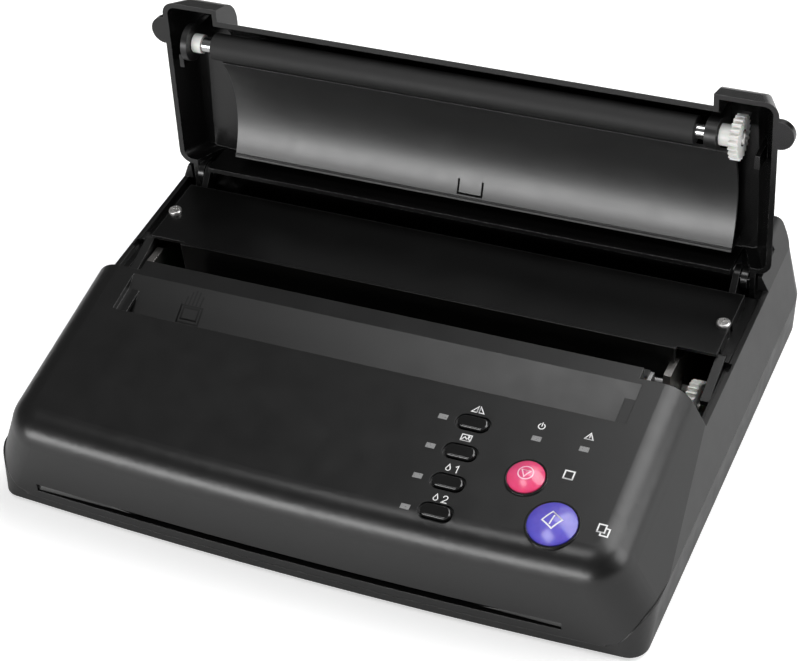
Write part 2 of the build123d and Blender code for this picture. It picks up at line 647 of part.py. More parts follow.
# ---------------------------------------------------------------- deck plate
DECK_SKIRT_T = 1.5
DECK_PAD = 3.6
with BuildPart() as deck_plate:
    add(
        box_between(
            (-DECK_HALF_W, DECK_HALF_W), (POCKET_REAR_Y, DECK_REAR_Y), (DECK_TOP_Z - DECK_T, DECK_TOP_Z)
        )
    )
    add(
        box_between(
            (-POCKET_X[0], POCKET_X[0]), (DECK_FRONT_Y, POCKET_REAR_Y), (DECK_TOP_Z - DECK_T, DECK_TOP_Z)
        )
    )
    add(
        both_sides(
            box_between(
                (DECK_HALF_W - DECK_SKIRT_T, DECK_HALF_W),
                (LEVER_PIVOT_Y + 4, DECK_REAR_Y),
                (LEDGE_Z, DECK_TOP_Z - DECK_T),
            )
        )
    )
    for skirt_x, skirt_z in (
        ((-POCKET_X[0], POCKET_X[0]), (LEDGE_Z, DECK_LIP_Z)),
        ((-POCKET_X[0], PLATE_RIGHT_X[0] - 0.3), (SKIRT_FOOT_Z, LEDGE_Z)),
    ):
        add(box_between(skirt_x, (DECK_FRONT_Y, DECK_FRONT_Y + DECK_T), skirt_z))
    add(
        both_sides(
            box_between(
                (DECK_SCREW_X - DECK_PAD, DECK_HALF_W),
                (DECK_SCREW_Y - DECK_PAD, DECK_SCREW_Y + DECK_PAD),
                (LEDGE_Z - 1, DECK_TOP_Z - DECK_T),
            )
        ),
        mode=Mode.SUBTRACT,
    )
    add(posts(deck_post_places, SCREW_PILOT_R + 0.2, DECK_TOP_Z - DECK_T, DECK_TOP_Z), mode=Mode.SUBTRACT)
    lip_top = deck_plate.faces().group_by(Axis.Z)[-1].edges().filter_by(Axis.X)
    fillet(lip_top, 0.6)
deck_plate.part.label = "deck_plate"
export_step(deck_plate.part, "parts/deck_plate.step")

with BuildPart() as deck_screws:
    add(
        cross_screws(
            deck_post_places, DECK_TOP_Z, SCREW_HEAD_H, SCREW_HEAD_R, LEDGE_Z - 5, SCREW_SHANK_R
        )
    )
deck_screws.part.label = "deck_screws"
export_step(deck_screws.part, "parts/deck_screws.step")

# ---------------------------------------------------------------- gears
MODULE = 0.8
ADDENDUM = 0.85 * MODULE
DEDENDUM = 1.1 * MODULE
MESH_SLACK = 0.12           # extra centre distance of gears in mesh


def gear_points(teeth, turn_deg):
    """Outline of a spur gear round its own centre; turn 0 puts a tooth on +Y."""
    pitch_r = MODULE * teeth / 2
    step = 2 * math.pi / teeth
    shape = (
        (-0.31, pitch_r - DEDENDUM),
        (-0.215, pitch_r),
        (-0.11, pitch_r + ADDENDUM),
        (0.11, pitch_r + ADDENDUM),
        (0.215, pitch_r),
        (0.31, pitch_r - DEDENDUM),
    )
    points = []
    for tooth in range(teeth):
        for share, radius in shape:
            turn = math.radians(turn_deg) + (tooth + share) * step
            points.append((radius * math.cos(turn), radius * math.sin(turn)))
    return points


def x_gear(teeth, turn_deg, x_from, x_to, centre, bore_r):
    """A spur gear on an axis along X."""
    with BuildPart() as wheel:
        with BuildSketch(Plane.YZ.offset(x_from)):
            with BuildLine():
                Polyline(
                    *[(centre[0] + y, centre[1] + z) for y, z in gear_points(teeth, turn_deg)],
                    close=True,
                )
            make_face()
            with Locations(centre):
                Circle(bore_r, mode=Mode.SUBTRACT)
        extrude(amount=x_to - x_from)
    return wheel.part


def x_tube(outer_r, inner_r, x_from, x_to, centre):
    """A tube along X."""
    return x_cylinder(outer_r, x_from, x_to, *centre) - x_cylinder(inner_r, x_from, x_to, *centre)


def pitch_radius(teeth):
    """Pitch circle of a gear of this machine."""
    return MODULE * teeth / 2


def away(centre, direction_deg, distance):
    """A place at a distance from a centre, seen along X."""
    turn = math.radians(direction_deg)
    return (centre[0] + distance * math.cos(turn), centre[1] + distance * math.sin(turn))


def mesh_turn(teeth, towards_deg, other_teeth, other_turn):
    """Turn of a gear that lets the other gear's teeth into its gaps."""
    other_step = 360.0 / other_teeth
    past_line = (other_turn - towards_deg - 180.0) % other_step
    return towards_deg - past_line * other_teeth / teeth + 180.0 / teeth


AXLE_GAP = 0.05
SHUT_ROLLER = (5.6, FLOOR_Z + 40.8)     # platen roller axis with the lid shut, y and z
PLATEN_TEETH = 22
DRIVE_TEETH = 26
PINION_TEETH = 10
DRIVE_TOWARDS = -68.0
drive_reach = pitch_radius(PLATEN_TEETH) + pitch_radius(DRIVE_TEETH) + MESH_SLACK
DRIVE_CENTRE = away(SHUT_ROLLER, DRIVE_TOWARDS, drive_reach)
PINION_TOWARDS = -18.0
PINION_CENTRE = away(
    DRIVE_CENTRE, PINION_TOWARDS, pitch_radius(DRIVE_TEETH) + pitch_radius(PINION_TEETH) + MESH_SLACK
)
GEAR_X = (121.5, 125.3)
DRIVE_GEAR_X = (123.0, 127.0)
AXLE_R = 2.0

# ---------------------------------------------------------------- side plates
PLATE_RIGHT_REAR_Y = 53.0   # the right plate runs back to carry the motor
PLATE_LEFT_REAR_Y = 38.0
PLATE_FRONT_Y = -5.0
PLATE_FOOT_W = 9.0
PLATE_FOOT_T = 1.5


def plate_outline(rear_y):
    """A side plate of the head frame seen from the side, notched for the platen shaft."""
    return [
        (PLATE_FRONT_Y, INNER_FLOOR_Z),
        (PLATE_FRONT_Y, FLOOR_Z + 31.5),
        (12.0, FLOOR_Z + 31.5),
        (13.8, FLOOR_Z + 36.0),
        (25.0, FLOOR_Z + 36.0),
        (29.0, FLOOR_Z + 33.0),
        (rear_y, FLOOR_Z + 33.0),
        (rear_y, INNER_FLOOR_Z),
    ]


MOTOR_SHAFT_R = 1.5
MOTOR_BOSS_R = 4.2
with BuildPart() as side_plate_right:
    add(extruded_along_x(plate_outline(PLATE_RIGHT_REAR_Y), *PLATE_RIGHT_X))
    add(
        box_between(
            (PLATE_RIGHT_X[1], PLATE_RIGHT_X[1] + PLATE_FOOT_W),
            (PLATE_FRONT_Y, PLATE_RIGHT_REAR_Y),
            (INNER_FLOOR_Z, INNER_FLOOR_Z + PLATE_FOOT_T),
        )
    )
    add(x_cylinder(AXLE_R, PLATE_RIGHT_X[1], DRIVE_GEAR_X[1] + 1.0, *DRIVE_CENTRE))
    add(x_cylinder(MOTOR_BOSS_R + MOVING_GAP, *PLATE_RIGHT_X, *PINION_CENTRE), mode=Mode.SUBTRACT)
side_plate_right.part.label = "side_plate_right"
export_step(side_plate_right.part, "parts/side_plate_right.step")

with BuildPart() as side_plate_left:
    add(extruded_along_x(plate_outline(PLATE_LEFT_REAR_Y), *PLATE_LEFT_X))
    add(
        box_between(
            (PLATE_LEFT_X[0] - PLATE_FOOT_W, PLATE_LEFT_X[0]),
            (PLATE_FRONT_Y, PLATE_LEFT_REAR_Y),
            (INNER_FLOOR_Z, INNER_FLOOR_Z + PLATE_FOOT_T),
        )
    )
side_plate_left.part.label = "side_plate_left"
export_step(side_plate_left.part, "parts/side_plate_left.step")

DRIVE_HUB_R = 4.0
with BuildPart() as drive_gear:
    add(x_gear(DRIVE_TEETH, PINION_TOWARDS, *DRIVE_GEAR_X, DRIVE_CENTRE, AXLE_R + AXLE_GAP))
    add(x_tube(DRIVE_HUB_R, AXLE_R + AXLE_GAP, PLATE_RIGHT_X[1] + 0.5, DRIVE_GEAR_X[0], DRIVE_CENTRE))
drive_gear.part.label = "drive_gear"
export_step(drive_gear.part, "parts/drive_gear.step")

MOTOR_R = 8.2
MOTOR_LENGTH = 24.0
with BuildPart() as drive_motor:
    add(x_cylinder(MOTOR_R, PLATE_RIGHT_X[0] - MOTOR_LENGTH, PLATE_RIGHT_X[0], *PINION_CENTRE))
    add(x_cylinder(MOTOR_BOSS_R, *PLATE_RIGHT_X, *PINION_CENTRE))
    chamfer(drive_motor.edges().filter_by(GeomType.CIRCLE).sort_by(Axis.X)[0], 0.8)
drive_motor.part.label = "drive_motor"
export_step(drive_motor.part, "parts/drive_motor.step")

with BuildPart() as motor_pinion:
    add(
        x_gear(
            PINION_TEETH,
            mesh_turn(PINION_TEETH, PINION_TOWARDS + 180.0, DRIVE_TEETH, PINION_TOWARDS),
            DRIVE_GEAR_X[0],
            DRIVE_GEAR_X[1],
            PINION_CENTRE,
            MOTOR_SHAFT_R,
        )
    )
    add(x_cylinder(MOTOR_SHAFT_R, PLATE_RIGHT_X[1] + 0.3, DRIVE_GEAR_X[1] + 0.5, *PINION_CENTRE))
motor_pinion.part.label = "motor_pinion"
export_step(motor_pinion.part, "parts/motor_pinion.step")

# ---------------------------------------------------------------- print head
HEAD_HALF_W = 107.5
HEAD_Y = (-3.5, 16.5)
HEAD_TOP_Z = FLOOR_Z + 34.2
ELEMENT_T = 0.6
FIN_COUNT = 5
FIN_H = 6.0
SINK_H = 10.0
with BuildPart() as print_head:
    add(
        box_between(
            (-HEAD_HALF_W, HEAD_HALF_W), HEAD_Y, (HEAD_TOP_Z - ELEMENT_T - SINK_H, HEAD_TOP_Z - ELEMENT_T)
        )
    )
    fin_pitch = (HEAD_Y[1] - HEAD_Y[0]) / (FIN_COUNT - 0.5)
    for fin in range(FIN_COUNT - 1):
        groove_y = HEAD_Y[0] + (fin + 0.5) * fin_pitch
        add(
            box_between(
                (-HEAD_HALF_W, HEAD_HALF_W),
                (groove_y, groove_y + fin_pitch / 2),
                (HEAD_TOP_Z - ELEMENT_T - SINK_H, HEAD_TOP_Z - ELEMENT_T - SINK_H + FIN_H),
            ),
            mode=Mode.SUBTRACT,
        )
print_head.part.label = "print_head"
export_step(print_head.part, "parts/print_head.step")

with BuildPart() as head_element:
    add(box_between((-106.0, 106.0), (-0.5, 11.5), (HEAD_TOP_Z - ELEMENT_T, HEAD_TOP_Z)))
head_element.part.label = "head_element"
export_step(head_element.part, "parts/head_element.step")

with BuildPart() as head_cover:
    add(box_between((-106.0, 106.0), (11.8, HEAD_Y[1]), (HEAD_TOP_Z - ELEMENT_T, HEAD_TOP_Z + 0.8)))
    chamfer(head_cover.edges().filter_by(Axis.X).group_by(Axis.Z)[-1], 0.6)
head_cover.part.label = "head_cover"
export_step(head_cover.part, "parts/head_cover.step")

CARRIER_TOP_Z = HEAD_TOP_Z - ELEMENT_T - SINK_H
CARRIER_T = 1.5
with BuildPart() as head_carrier:
    add(
        box_between(
            (PLATE_LEFT_X[1], PLATE_RIGHT_X[0]), (HEAD_Y[0] - 0.5, HEAD_Y[1] + 0.5),
            (CARRIER_TOP_Z - CARRIER_T, CARRIER_TOP_Z),
        )
    )
    add(
        box_between(
            (PLATE_LEFT_X[1], PLATE_RIGHT_X[0]), (HEAD_Y[1] + 0.5, HEAD_Y[1] + 0.5 + CARRIER_T),
            (CARRIER_TOP_Z - CARRIER_T - 5.0, CARRIER_TOP_Z),
        )
    )
    add(posts(SPRING_PLACES, 2.0, CARRIER_TOP_Z - CARRIER_T - 4.0, CARRIER_TOP_Z - CARRIER_T))
head_carrier.part.label = "head_carrier"
export_step(head_carrier.part, "parts/head_carrier.step")

SPRING_R = 3.6
SPRING_WIRE_R = 0.45
SPRING_TURNS = 5
spring_from = SPRING_SEAT_Z + SPRING_WIRE_R
spring_to = CARRIER_TOP_Z - CARRIER_T - SPRING_WIRE_R
spring_pitch = (spring_to - spring_from) / SPRING_TURNS
spring_parts = []
for spring_x, spring_y in SPRING_PLACES:
    with BuildPart() as spring:
        with BuildLine(Plane((spring_x, spring_y, spring_from))) as coil_line:
            Helix(spring_pitch, spring_to - spring_from, SPRING_R)
        start = coil_line.line @ 0
        with BuildSketch(Plane(origin=start, z_dir=coil_line.line % 0)):
            Circle(SPRING_WIRE_R)
        sweep(path=coil_line.line)
    spring_parts.append(spring.part)
with BuildPart() as head_springs:
    for coil in spring_parts:
        add(coil)
head_springs.part.label = "head_springs"
export_step(head_springs.part, "parts/head_springs.step")

# ---------------------------------------------------------------- document feed
SENSOR_H = 9.5
GLASS_T = 1.4
GLASS_DROP = 0.3
FEED_R = 5.0
FEED_SHAFT_R = 2.0
FEED_HALF_W = 107.5
SENSOR_PLANE = Plane(
    origin=(0, SENSOR_Y, path_z(SENSOR_Y)),
    x_dir=(1, 0, 0),
    z_dir=(0, -math.sin(PATH_SLOPE), math.cos(PATH_SLOPE)),
)
FEED_CENTRE = (
    SENSOR_Y - (FEED_R + 0.3) * math.sin(PATH_SLOPE),
    path_z(SENSOR_Y) + (FEED_R + 0.3) * math.cos(PATH_SLOPE),
)
FEED_TEETH = 24
IDLER_TEETH = 20
IDLER_TOWARDS = -23.3
FEED_PINION_TEETH = 10
IDLER_CENTRE = away(
    FEED_CENTRE, IDLER_TOWARDS, pitch_radius(FEED_TEETH) + pitch_radius(IDLER_TEETH) + MESH_SLACK
)
FEED_MOTOR_CENTRE = away(
    IDLER_CENTRE, IDLER_TOWARDS, pitch_radius(IDLER_TEETH) + pitch_radius(FEED_PINION_TEETH) + MESH_SLACK
)
FEED_GEAR_X = (-120.4, -115.4)
FEED_MOTOR_R = 11.5
FEED_MOTOR_LENGTH = 20.0


def tilted_bar(half_w, along, depth_range):
    """A bar along X lying square to the document's way at the sensor."""
    with BuildPart() as bar:
        with BuildSketch(SENSOR_PLANE.offset(-depth_range[1])):
            Rectangle(2 * half_w, along)
        extrude(amount=depth_range[1] - depth_range[0])
    return bar.part


with BuildPart() as document_guide:
    guide_from = ramp_foot_y - 0.4
    guide_to = SENSOR_Y + (SENSOR_W / 2) * math.cos(PATH_SLOPE) + 1.6
    add(sheet_along_path(guide_from, guide_to, GUIDE_T, GUIDE_DROP, FEED_PLATE_X[0]))
    add(box_between((20.0, 34.0), (-66.0, -58.0), (20, 50)), mode=Mode.SUBTRACT)
document_guide.part.label = "document_guide"
export_step(document_guide.part, "parts/document_guide.step")

with BuildPart() as sensor_housing:
    add(tilted_bar(FEED_PLATE_X[0], SENSOR_W, (GLASS_DROP + GLASS_T, SENSOR_H)))
sensor_housing.part.label = "sensor_housing"
export_step(sensor_housing.part, "parts/sensor_housing.step")

with BuildPart() as sensor_glass:
    add(tilted_bar(FEED_PLATE_X[0] - 3.0, SENSOR_W - 2.0, (GLASS_DROP, GLASS_DROP + GLASS_T)))
sensor_glass.part.label = "sensor_glass"
export_step(sensor_glass.part, "parts/sensor_glass.step")

FEED_PLATE_OUTLINE = (
    (-97.0, INNER_FLOOR_Z),
    (-97.0, FLOOR_Z + 27.0),
    (-90.0, FLOOR_Z + 34.0),
    (-76.0, FLOOR_Z + 34.0),
    (-62.0, FLOOR_Z + 30.0),
    (-41.0, FLOOR_Z + 30.0),
    (-41.0, INNER_FLOOR_Z),
)
with BuildPart() as feed_plates:
    add(both_sides(extruded_along_x(FEED_PLATE_OUTLINE, *FEED_PLATE_X)))
    add(
        both_sides(
            box_between(
                (FEED_PLATE_X[1], FEED_PLATE_X[1] + PLATE_FOOT_W),
                (-70, -41),
                (INNER_FLOOR_Z, INNER_FLOOR_Z + PLATE_FOOT_T),
            )
        )
    )
    add(x_cylinder(FEED_SHAFT_R + AXLE_GAP, -120, 120, *FEED_CENTRE), mode=Mode.SUBTRACT)
    add(x_cylinder(MOTOR_SHAFT_R + 2.5, -120, -100, *FEED_MOTOR_CENTRE), mode=Mode.SUBTRACT)
    add(x_cylinder(AXLE_R, FEED_GEAR_X[0] - 1.0, -FEED_PLATE_X[1], *IDLER_CENTRE))
feed_plates.part.label = "feed_plates"
export_step(feed_plates.part, "parts/feed_plates.step")

with BuildPart() as feed_roller:
    add(x_tube(FEED_R, FEED_SHAFT_R, -FEED_HALF_W, FEED_HALF_W, FEED_CENTRE))
feed_roller.part.label = "feed_roller"
export_step(feed_roller.part, "parts/feed_roller.step")

with BuildPart() as feed_shaft:
    add(x_cylinder(FEED_SHAFT_R, FEED_GEAR_X[0] - 1.0, FEED_PLATE_X[1] + 1.5, *FEED_CENTRE))
feed_shaft.part.label = "feed_shaft"
export_step(feed_shaft.part, "parts/feed_shaft.step")

with BuildPart() as feed_gear:
    add(x_gear(FEED_TEETH, IDLER_TOWARDS, *FEED_GEAR_X, FEED_CENTRE, FEED_SHAFT_R))
feed_gear.part.label = "feed_gear"
export_step(feed_gear.part, "parts/feed_gear.step")

idler_turn = mesh_turn(IDLER_TEETH, IDLER_TOWARDS + 180.0, FEED_TEETH, IDLER_TOWARDS)
with BuildPart() as idler_gear:
    add(
        x_gear(
            IDLER_TEETH,
            idler_turn,
            *FEED_GEAR_X,
            IDLER_CENTRE,
            AXLE_R + AXLE_GAP,
        )
    )
idler_gear.part.label = "idler_gear"
export_step(idler_gear.part, "parts/idler_gear.step")

with BuildPart() as feed_pinion:
    add(
        x_gear(
            FEED_PINION_TEETH,
            mesh_turn(FEED_PINION_TEETH, IDLER_TOWARDS + 180.0, IDLER_TEETH, idler_turn),
            *FEED_GEAR_X,
            FEED_MOTOR_CENTRE,
            MOTOR_SHAFT_R,
        )
    )
    add(x_cylinder(MOTOR_SHAFT_R, FEED_GEAR_X[0] - 0.5, -FEED_PLATE_X[1] - 0.3, *FEED_MOTOR_CENTRE))
feed_pinion.part.label = "feed_pinion"
export_step(feed_pinion.part, "parts/feed_pinion.step")

with BuildPart() as feed_motor:
    add(
        x_cylinder(
            FEED_MOTOR_R, -FEED_PLATE_X[0], -FEED_PLATE_X[0] + FEED_MOTOR_LENGTH, *FEED_MOTOR_CENTRE
        )
    )
    add(x_cylinder(3.8, -FEED_PLATE_X[1], -FEED_PLATE_X[0], *FEED_MOTOR_CENTRE))
    chamfer(feed_motor.edges().filter_by(GeomType.CIRCLE).sort_by(Axis.X)[-1], 0.8)
feed_motor.part.label = "feed_motor"
export_step(feed_motor.part, "parts/feed_motor.step")

flag_tip_z = path_z(FLAG_PIVOT[0]) + 3.0
with BuildPart() as paper_flag:
    add(x_tube(3.0, FLAG_PIN_R + AXLE_GAP, *FLAG_X, FLAG_PIVOT))
    add(
        extruded_along_x(
            [
                (FLAG_PIVOT[0] - 1.0, FLAG_PIVOT[1] + 2.2),
                (FLAG_PIVOT[0] - 1.0, flag_tip_z),
                (FLAG_PIVOT[0] + 0.6, flag_tip_z),
                (FLAG_PIVOT[0] + 1.6, FLAG_PIVOT[1] + 2.2),
            ],
            *FLAG_X,
        )
    )
paper_flag.part.label = "paper_flag"
export_step(paper_flag.part, "parts/paper_flag.step")

# ---------------------------------------------------------------- controls
SKIN_UNDER = CASE_WALL + MOVING_GAP
STEM_BOTTOM = KEY_BOARD_DEPTH - SWITCH_BODY_H - PRESS_TRAVEL - 0.6
for key_name, key_place in zip(KEY_NAMES, KEY_PLACES):
    with BuildPart() as key:
        add(panel_pills([key_place], KEY_LENGTH, KEY_WIDTH, (-KEY_PROUD, SKIN_UNDER)))
        key_rim = key.faces().sort_by(Axis((0, 0, 0), PANEL_PLANE.z_dir))[-1].edges()
        fillet(key_rim, 0.7)
        add(
            panel_pills(
                [key_place], KEY_LENGTH + 2 * FLANGE_W, KEY_WIDTH + 2 * FLANGE_W,
                (SKIN_UNDER, SKIN_UNDER + FLANGE_T),
            )
        )
        add(panel_discs([key_place], 1.5, (SKIN_UNDER + FLANGE_T, STEM_BOTTOM)))
    key.part.label = key_name
    export_step(key.part, "parts/" + key_name + ".step")


def dome_button(place, radius):
    """A round push button with a flange under the panel and a domed cap."""
    centre = PANEL_PLANE.from_local_coords(Vector(*on_panel(*place), 0))
    upright = Plane(origin=centre, x_dir=(1, 0, 0), z_dir=(0, -math.cos(PANEL_RAD), -math.sin(PANEL_RAD)))
    edge_proud = 0.9
    with BuildPart() as button:
        with BuildSketch(upright):
            with BuildLine():
                Line((0, -SKIN_UNDER), (0, DOME_PROUD))
                ThreePointArc(
                    (0, DOME_PROUD), (0.62 * radius, DOME_PROUD - 0.42 * (DOME_PROUD - edge_proud)),
                    (radius, edge_proud),
                )
                Polyline((radius, edge_proud), (radius, -SKIN_UNDER), (0, -SKIN_UNDER))
            make_face()
        revolve(axis=Axis(centre, PANEL_PLANE.z_dir))
        add(panel_discs([place], radius + RING_W - MOVING_GAP, (SKIN_UNDER, SKIN_UNDER + FLANGE_T)))
        add(panel_discs([place], 1.6, (SKIN_UNDER + FLANGE_T, STEM_BOTTOM)))
    return button.part


with BuildPart() as stop_button:
    add(dome_button(STOP_PLACE, STOP_R))
stop_button.part.label = "stop_button"
export_step(stop_button.part, "parts/stop_button.step")

with BuildPart() as copy_button:
    add(dome_button(COPY_PLACE, COPY_R))
copy_button.part.label = "copy_button"
export_step(copy_button.part, "parts/copy_button.step")

with BuildPart() as button_rings:
    for place, radius in ((STOP_PLACE, STOP_R), (COPY_PLACE, COPY_R)):
        add(panel_discs([place], radius + RING_W, (-RING_PROUD, CASE_WALL)))
        add(panel_discs([place], radius + MOVING_GAP, (-RING_PROUD, CASE_WALL)), mode=Mode.SUBTRACT)
button_rings.part.label = "button_rings"
export_step(button_rings.part, "parts/button_rings.step")

with BuildPart() as indicator_lenses:
    add(panel_tiles(LAMP_PLACES, LAMP_LENGTH, LAMP_WIDTH, (-0.15, KEY_BOARD_DEPTH - 2.2)))
indicator_lenses.part.label = "indicator_lenses"
export_step(indicator_lenses.part, "parts/indicator_lenses.step")

BOARD_X = (37.0, 120.0)
BOARD_Y = (-97.5, -47.5)
with BuildPart() as key_board:
    add(on_panel_prism(BOARD_X, BOARD_Y, (KEY_BOARD_DEPTH, KEY_BOARD_DEPTH + BOARD_T)))
    add(
        on_panel_prism(
            (BOARD_X[1] - 9.0, BOARD_X[1]),
            (BOARD_Y[0], BOARD_Y[0] + 6.0),
            (KEY_BOARD_DEPTH, KEY_BOARD_DEPTH + BOARD_T),
        ),
        mode=Mode.SUBTRACT,
    )
    add(
        panel_discs(BOARD_POST_PLACES, BOARD_SCREW_R + 0.3, (KEY_BOARD_DEPTH, KEY_BOARD_DEPTH + BOARD_T)),
        mode=Mode.SUBTRACT,
    )
key_board.part.label = "key_board"
export_step(key_board.part, "parts/key_board.step")

SWITCH_PLACES = KEY_PLACES + (STOP_PLACE, COPY_PLACE)
switch_depths = (KEY_BOARD_DEPTH - SWITCH_BODY_H, KEY_BOARD_DEPTH)
with BuildPart() as key_board_parts:
    add(panel_tiles(SWITCH_PLACES, SWITCH_BODY_W, SWITCH_BODY_W, switch_depths))
    add(panel_tiles(LAMP_PLACES, 3.0, 1.8, (KEY_BOARD_DEPTH - 1.6, KEY_BOARD_DEPTH)))
key_board_parts.part.label = "key_board_parts"
export_step(key_board_parts.part, "parts/key_board_parts.step")

# ---------------------------------------------------------------- boards in the base
with BuildPart() as board_screws:
    add(posts(FIXINGS, BOARD_SCREW_HEAD_R, BOARD_Z + BOARD_T, BOARD_Z + BOARD_T + BOARD_SCREW_HEAD_H))
    add(posts(FIXINGS, BOARD_SCREW_R, INNER_FLOOR_Z + 2, BOARD_Z + BOARD_T))
    head_depth = KEY_BOARD_DEPTH + BOARD_T
    add(panel_discs(BOARD_POST_PLACES, BOARD_SCREW_HEAD_R, (head_depth, head_depth + BOARD_SCREW_HEAD_H)))
    add(panel_discs(BOARD_POST_PLACES, BOARD_SCREW_R, (CASE_WALL + 2.5, head_depth)))
board_screws.part.label = "board_screws"
export_step(board_screws.part, "parts/board_screws.step")

for board_name, limits in (("main_board", MAIN_BOARD), ("power_board", POWER_BOARD)):
    with BuildPart() as board:
        add(box_between(*limits, (BOARD_Z, BOARD_Z + BOARD_T)))
        add(posts(board_corners(limits, 4.5), 1.3, BOARD_Z, BOARD_Z + BOARD_T), mode=Mode.SUBTRACT)
    board.part.label = board_name
    export_step(board.part, "parts/" + board_name + ".step")

CHIPS = (
    (18.0, 50.0, 22.0, 22.0, 2.2),
    (50.0, 46.0, 14.0, 10.0, 1.6),
    (52.0, 66.0, 10.0, 14.0, 1.6),
    (4.0, 78.0, 12.0, 8.0, 5.5),
    (30.0, 86.0, 28.0, 6.0, 6.5),
    (66.0, 86.0, 14.0, 6.0, 6.5),
    (72.0, 34.0, 7.0, 16.0, 6.5),
)
CANS = ((-100.0, 40.0, 6.5), (-84.0, 40.0, 6.5), (-36.0, 84.0, 5.0), (-36.0, 70.0, 5.0))
CAN_H = 14.0
PARTS_Z = BOARD_Z + BOARD_T
with BuildPart() as board_parts:
    for x, y, length, width, height in CHIPS:
        add(
            box_between(
                (x - length / 2, x + length / 2), (y - width / 2, y + width / 2), (PARTS_Z, PARTS_Z + height)
            )
        )
    for x, y, radius in CANS:
        add(posts([(x, y)], radius, PARTS_Z, PARTS_Z + CAN_H))
board_parts.part.label = "board_parts"
export_step(board_parts.part, "parts/board_parts.step")

with BuildPart() as transformer:
    add(box_between((-74.0, -46.0), (34.0, 60.0), (PARTS_Z, PARTS_Z + 15.5)))
    add(box_between((-69.0, -51.0), (30.5, 63.5), (PARTS_Z + 2.0, PARTS_Z + 13.0)))
transformer.part.label = "transformer"
export_step(transformer.part, "parts/transformer.step")

# ---------------------------------------------------------------- rear sockets
SOCKET_FLANGE = 2.0
SOCKET_FLANGE_T = 1.6
INLET_DEPTH = 12.0
with BuildPart() as power_inlet:
    add(
        box_between(
            (INLET_X - INLET_W / 2, INLET_X + INLET_W / 2), (CASE_REAR_Y - INLET_DEPTH, CASE_REAR_Y),
            (SOCKET_Z - INLET_H / 2, SOCKET_Z + INLET_H / 2),
        )
    )
    add(
        box_between(
            (INLET_X - INLET_W / 2 - SOCKET_FLANGE, INLET_X + INLET_W / 2 + SOCKET_FLANGE),
            (CASE_REAR_Y, CASE_REAR_Y + SOCKET_FLANGE_T),
            (SOCKET_Z - INLET_H / 2 - SOCKET_FLANGE, SOCKET_Z + INLET_H / 2 + SOCKET_FLANGE),
        )
    )
    with BuildSketch(Plane.XZ.offset(-CASE_REAR_Y - SOCKET_FLANGE_T)) as mouth:
        with Locations((INLET_X, SOCKET_Z)):
            Rectangle(24.0, 16.0)
        chamfer(mouth.vertices().group_by(Axis.Y)[-1], 4.0)
    extrude(amount=INLET_DEPTH, mode=Mode.SUBTRACT)
power_inlet.part.label = "power_inlet"
export_step(power_inlet.part, "parts/power_inlet.step")

PIN_PLACES = ((-7.0, -1.5), (0.0, 2.5), (7.0, -1.5))
with BuildPart() as inlet_pins:
    for pin_x, pin_z in PIN_PLACES:
        add(
            box_between(
                (INLET_X + pin_x - 1.0, INLET_X + pin_x + 1.0),
                (CASE_REAR_Y - INLET_DEPTH + SOCKET_FLANGE_T, CASE_REAR_Y - 1.0),
                (SOCKET_Z + pin_z - 2.0, SOCKET_Z + pin_z + 2.0),
            )
        )
inlet_pins.part.label = "inlet_pins"
export_step(inlet_pins.part, "parts/inlet_pins.step")

ROCKER_PIVOT = (CASE_REAR_Y - 2.5, SOCKET_Z)
ROCKER_HALF_W = 4.8
ROCKER_TILT = 9.0
SWITCH_WALL = 1.2
with BuildPart() as switch_housing:
    add(
        box_between(
            (SWITCH_X - SWITCH_W / 2, SWITCH_X + SWITCH_W / 2), (CASE_REAR_Y - INLET_DEPTH, CASE_REAR_Y),
            (SOCKET_Z - SWITCH_H / 2, SOCKET_Z + SWITCH_H / 2),
        )
    )
    add(
        box_between(
            (SWITCH_X - SWITCH_W / 2 - SOCKET_FLANGE, SWITCH_X + SWITCH_W / 2 + SOCKET_FLANGE),
            (CASE_REAR_Y, CASE_REAR_Y + SOCKET_FLANGE_T),
            (SOCKET_Z - SWITCH_H / 2 - SOCKET_FLANGE, SOCKET_Z + SWITCH_H / 2 + SOCKET_FLANGE),
        )
    )
    add(
        box_between(
            (SWITCH_X - SWITCH_W / 2 + SWITCH_WALL, SWITCH_X + SWITCH_W / 2 - SWITCH_WALL),
            (CASE_REAR_Y - INLET_DEPTH + SWITCH_WALL, CASE_REAR_Y + 5),
            (SOCKET_Z - SWITCH_H / 2 + 0.6, SOCKET_Z + SWITCH_H / 2 - 0.6),
        ),
        mode=Mode.SUBTRACT,
    )
    inner_half_w = SWITCH_W / 2 - SWITCH_WALL
    add(x_cylinder(1.2, SWITCH_X - inner_half_w, SWITCH_X + inner_half_w, *ROCKER_PIVOT))
switch_housing.part.label = "switch_housing"
export_step(switch_housing.part, "parts/switch_housing.step")

ROCKER_FACE = ((-3.5, -7.4), (3.6, -7.4), (5.0, 0.0), (3.6, 7.4), (-3.5, 7.4))
with BuildPart() as power_rocker:
    add(
        extruded_along_x(
            [(ROCKER_PIVOT[0] + y, ROCKER_PIVOT[1] + z) for y, z in ROCKER_FACE],
            SWITCH_X - ROCKER_HALF_W,
            SWITCH_X + ROCKER_HALF_W,
        ).rotate(Axis((0, *ROCKER_PIVOT), (1, 0, 0)), ROCKER_TILT)
    )
    add(
        x_cylinder(1.2 + AXLE_GAP, SWITCH_X - ROCKER_HALF_W - 1, SWITCH_X + ROCKER_HALF_W + 1, *ROCKER_PIVOT),
        mode=Mode.SUBTRACT,
    )
power_rocker.part.label = "power_rocker"
export_step(power_rocker.part, "parts/power_rocker.step")


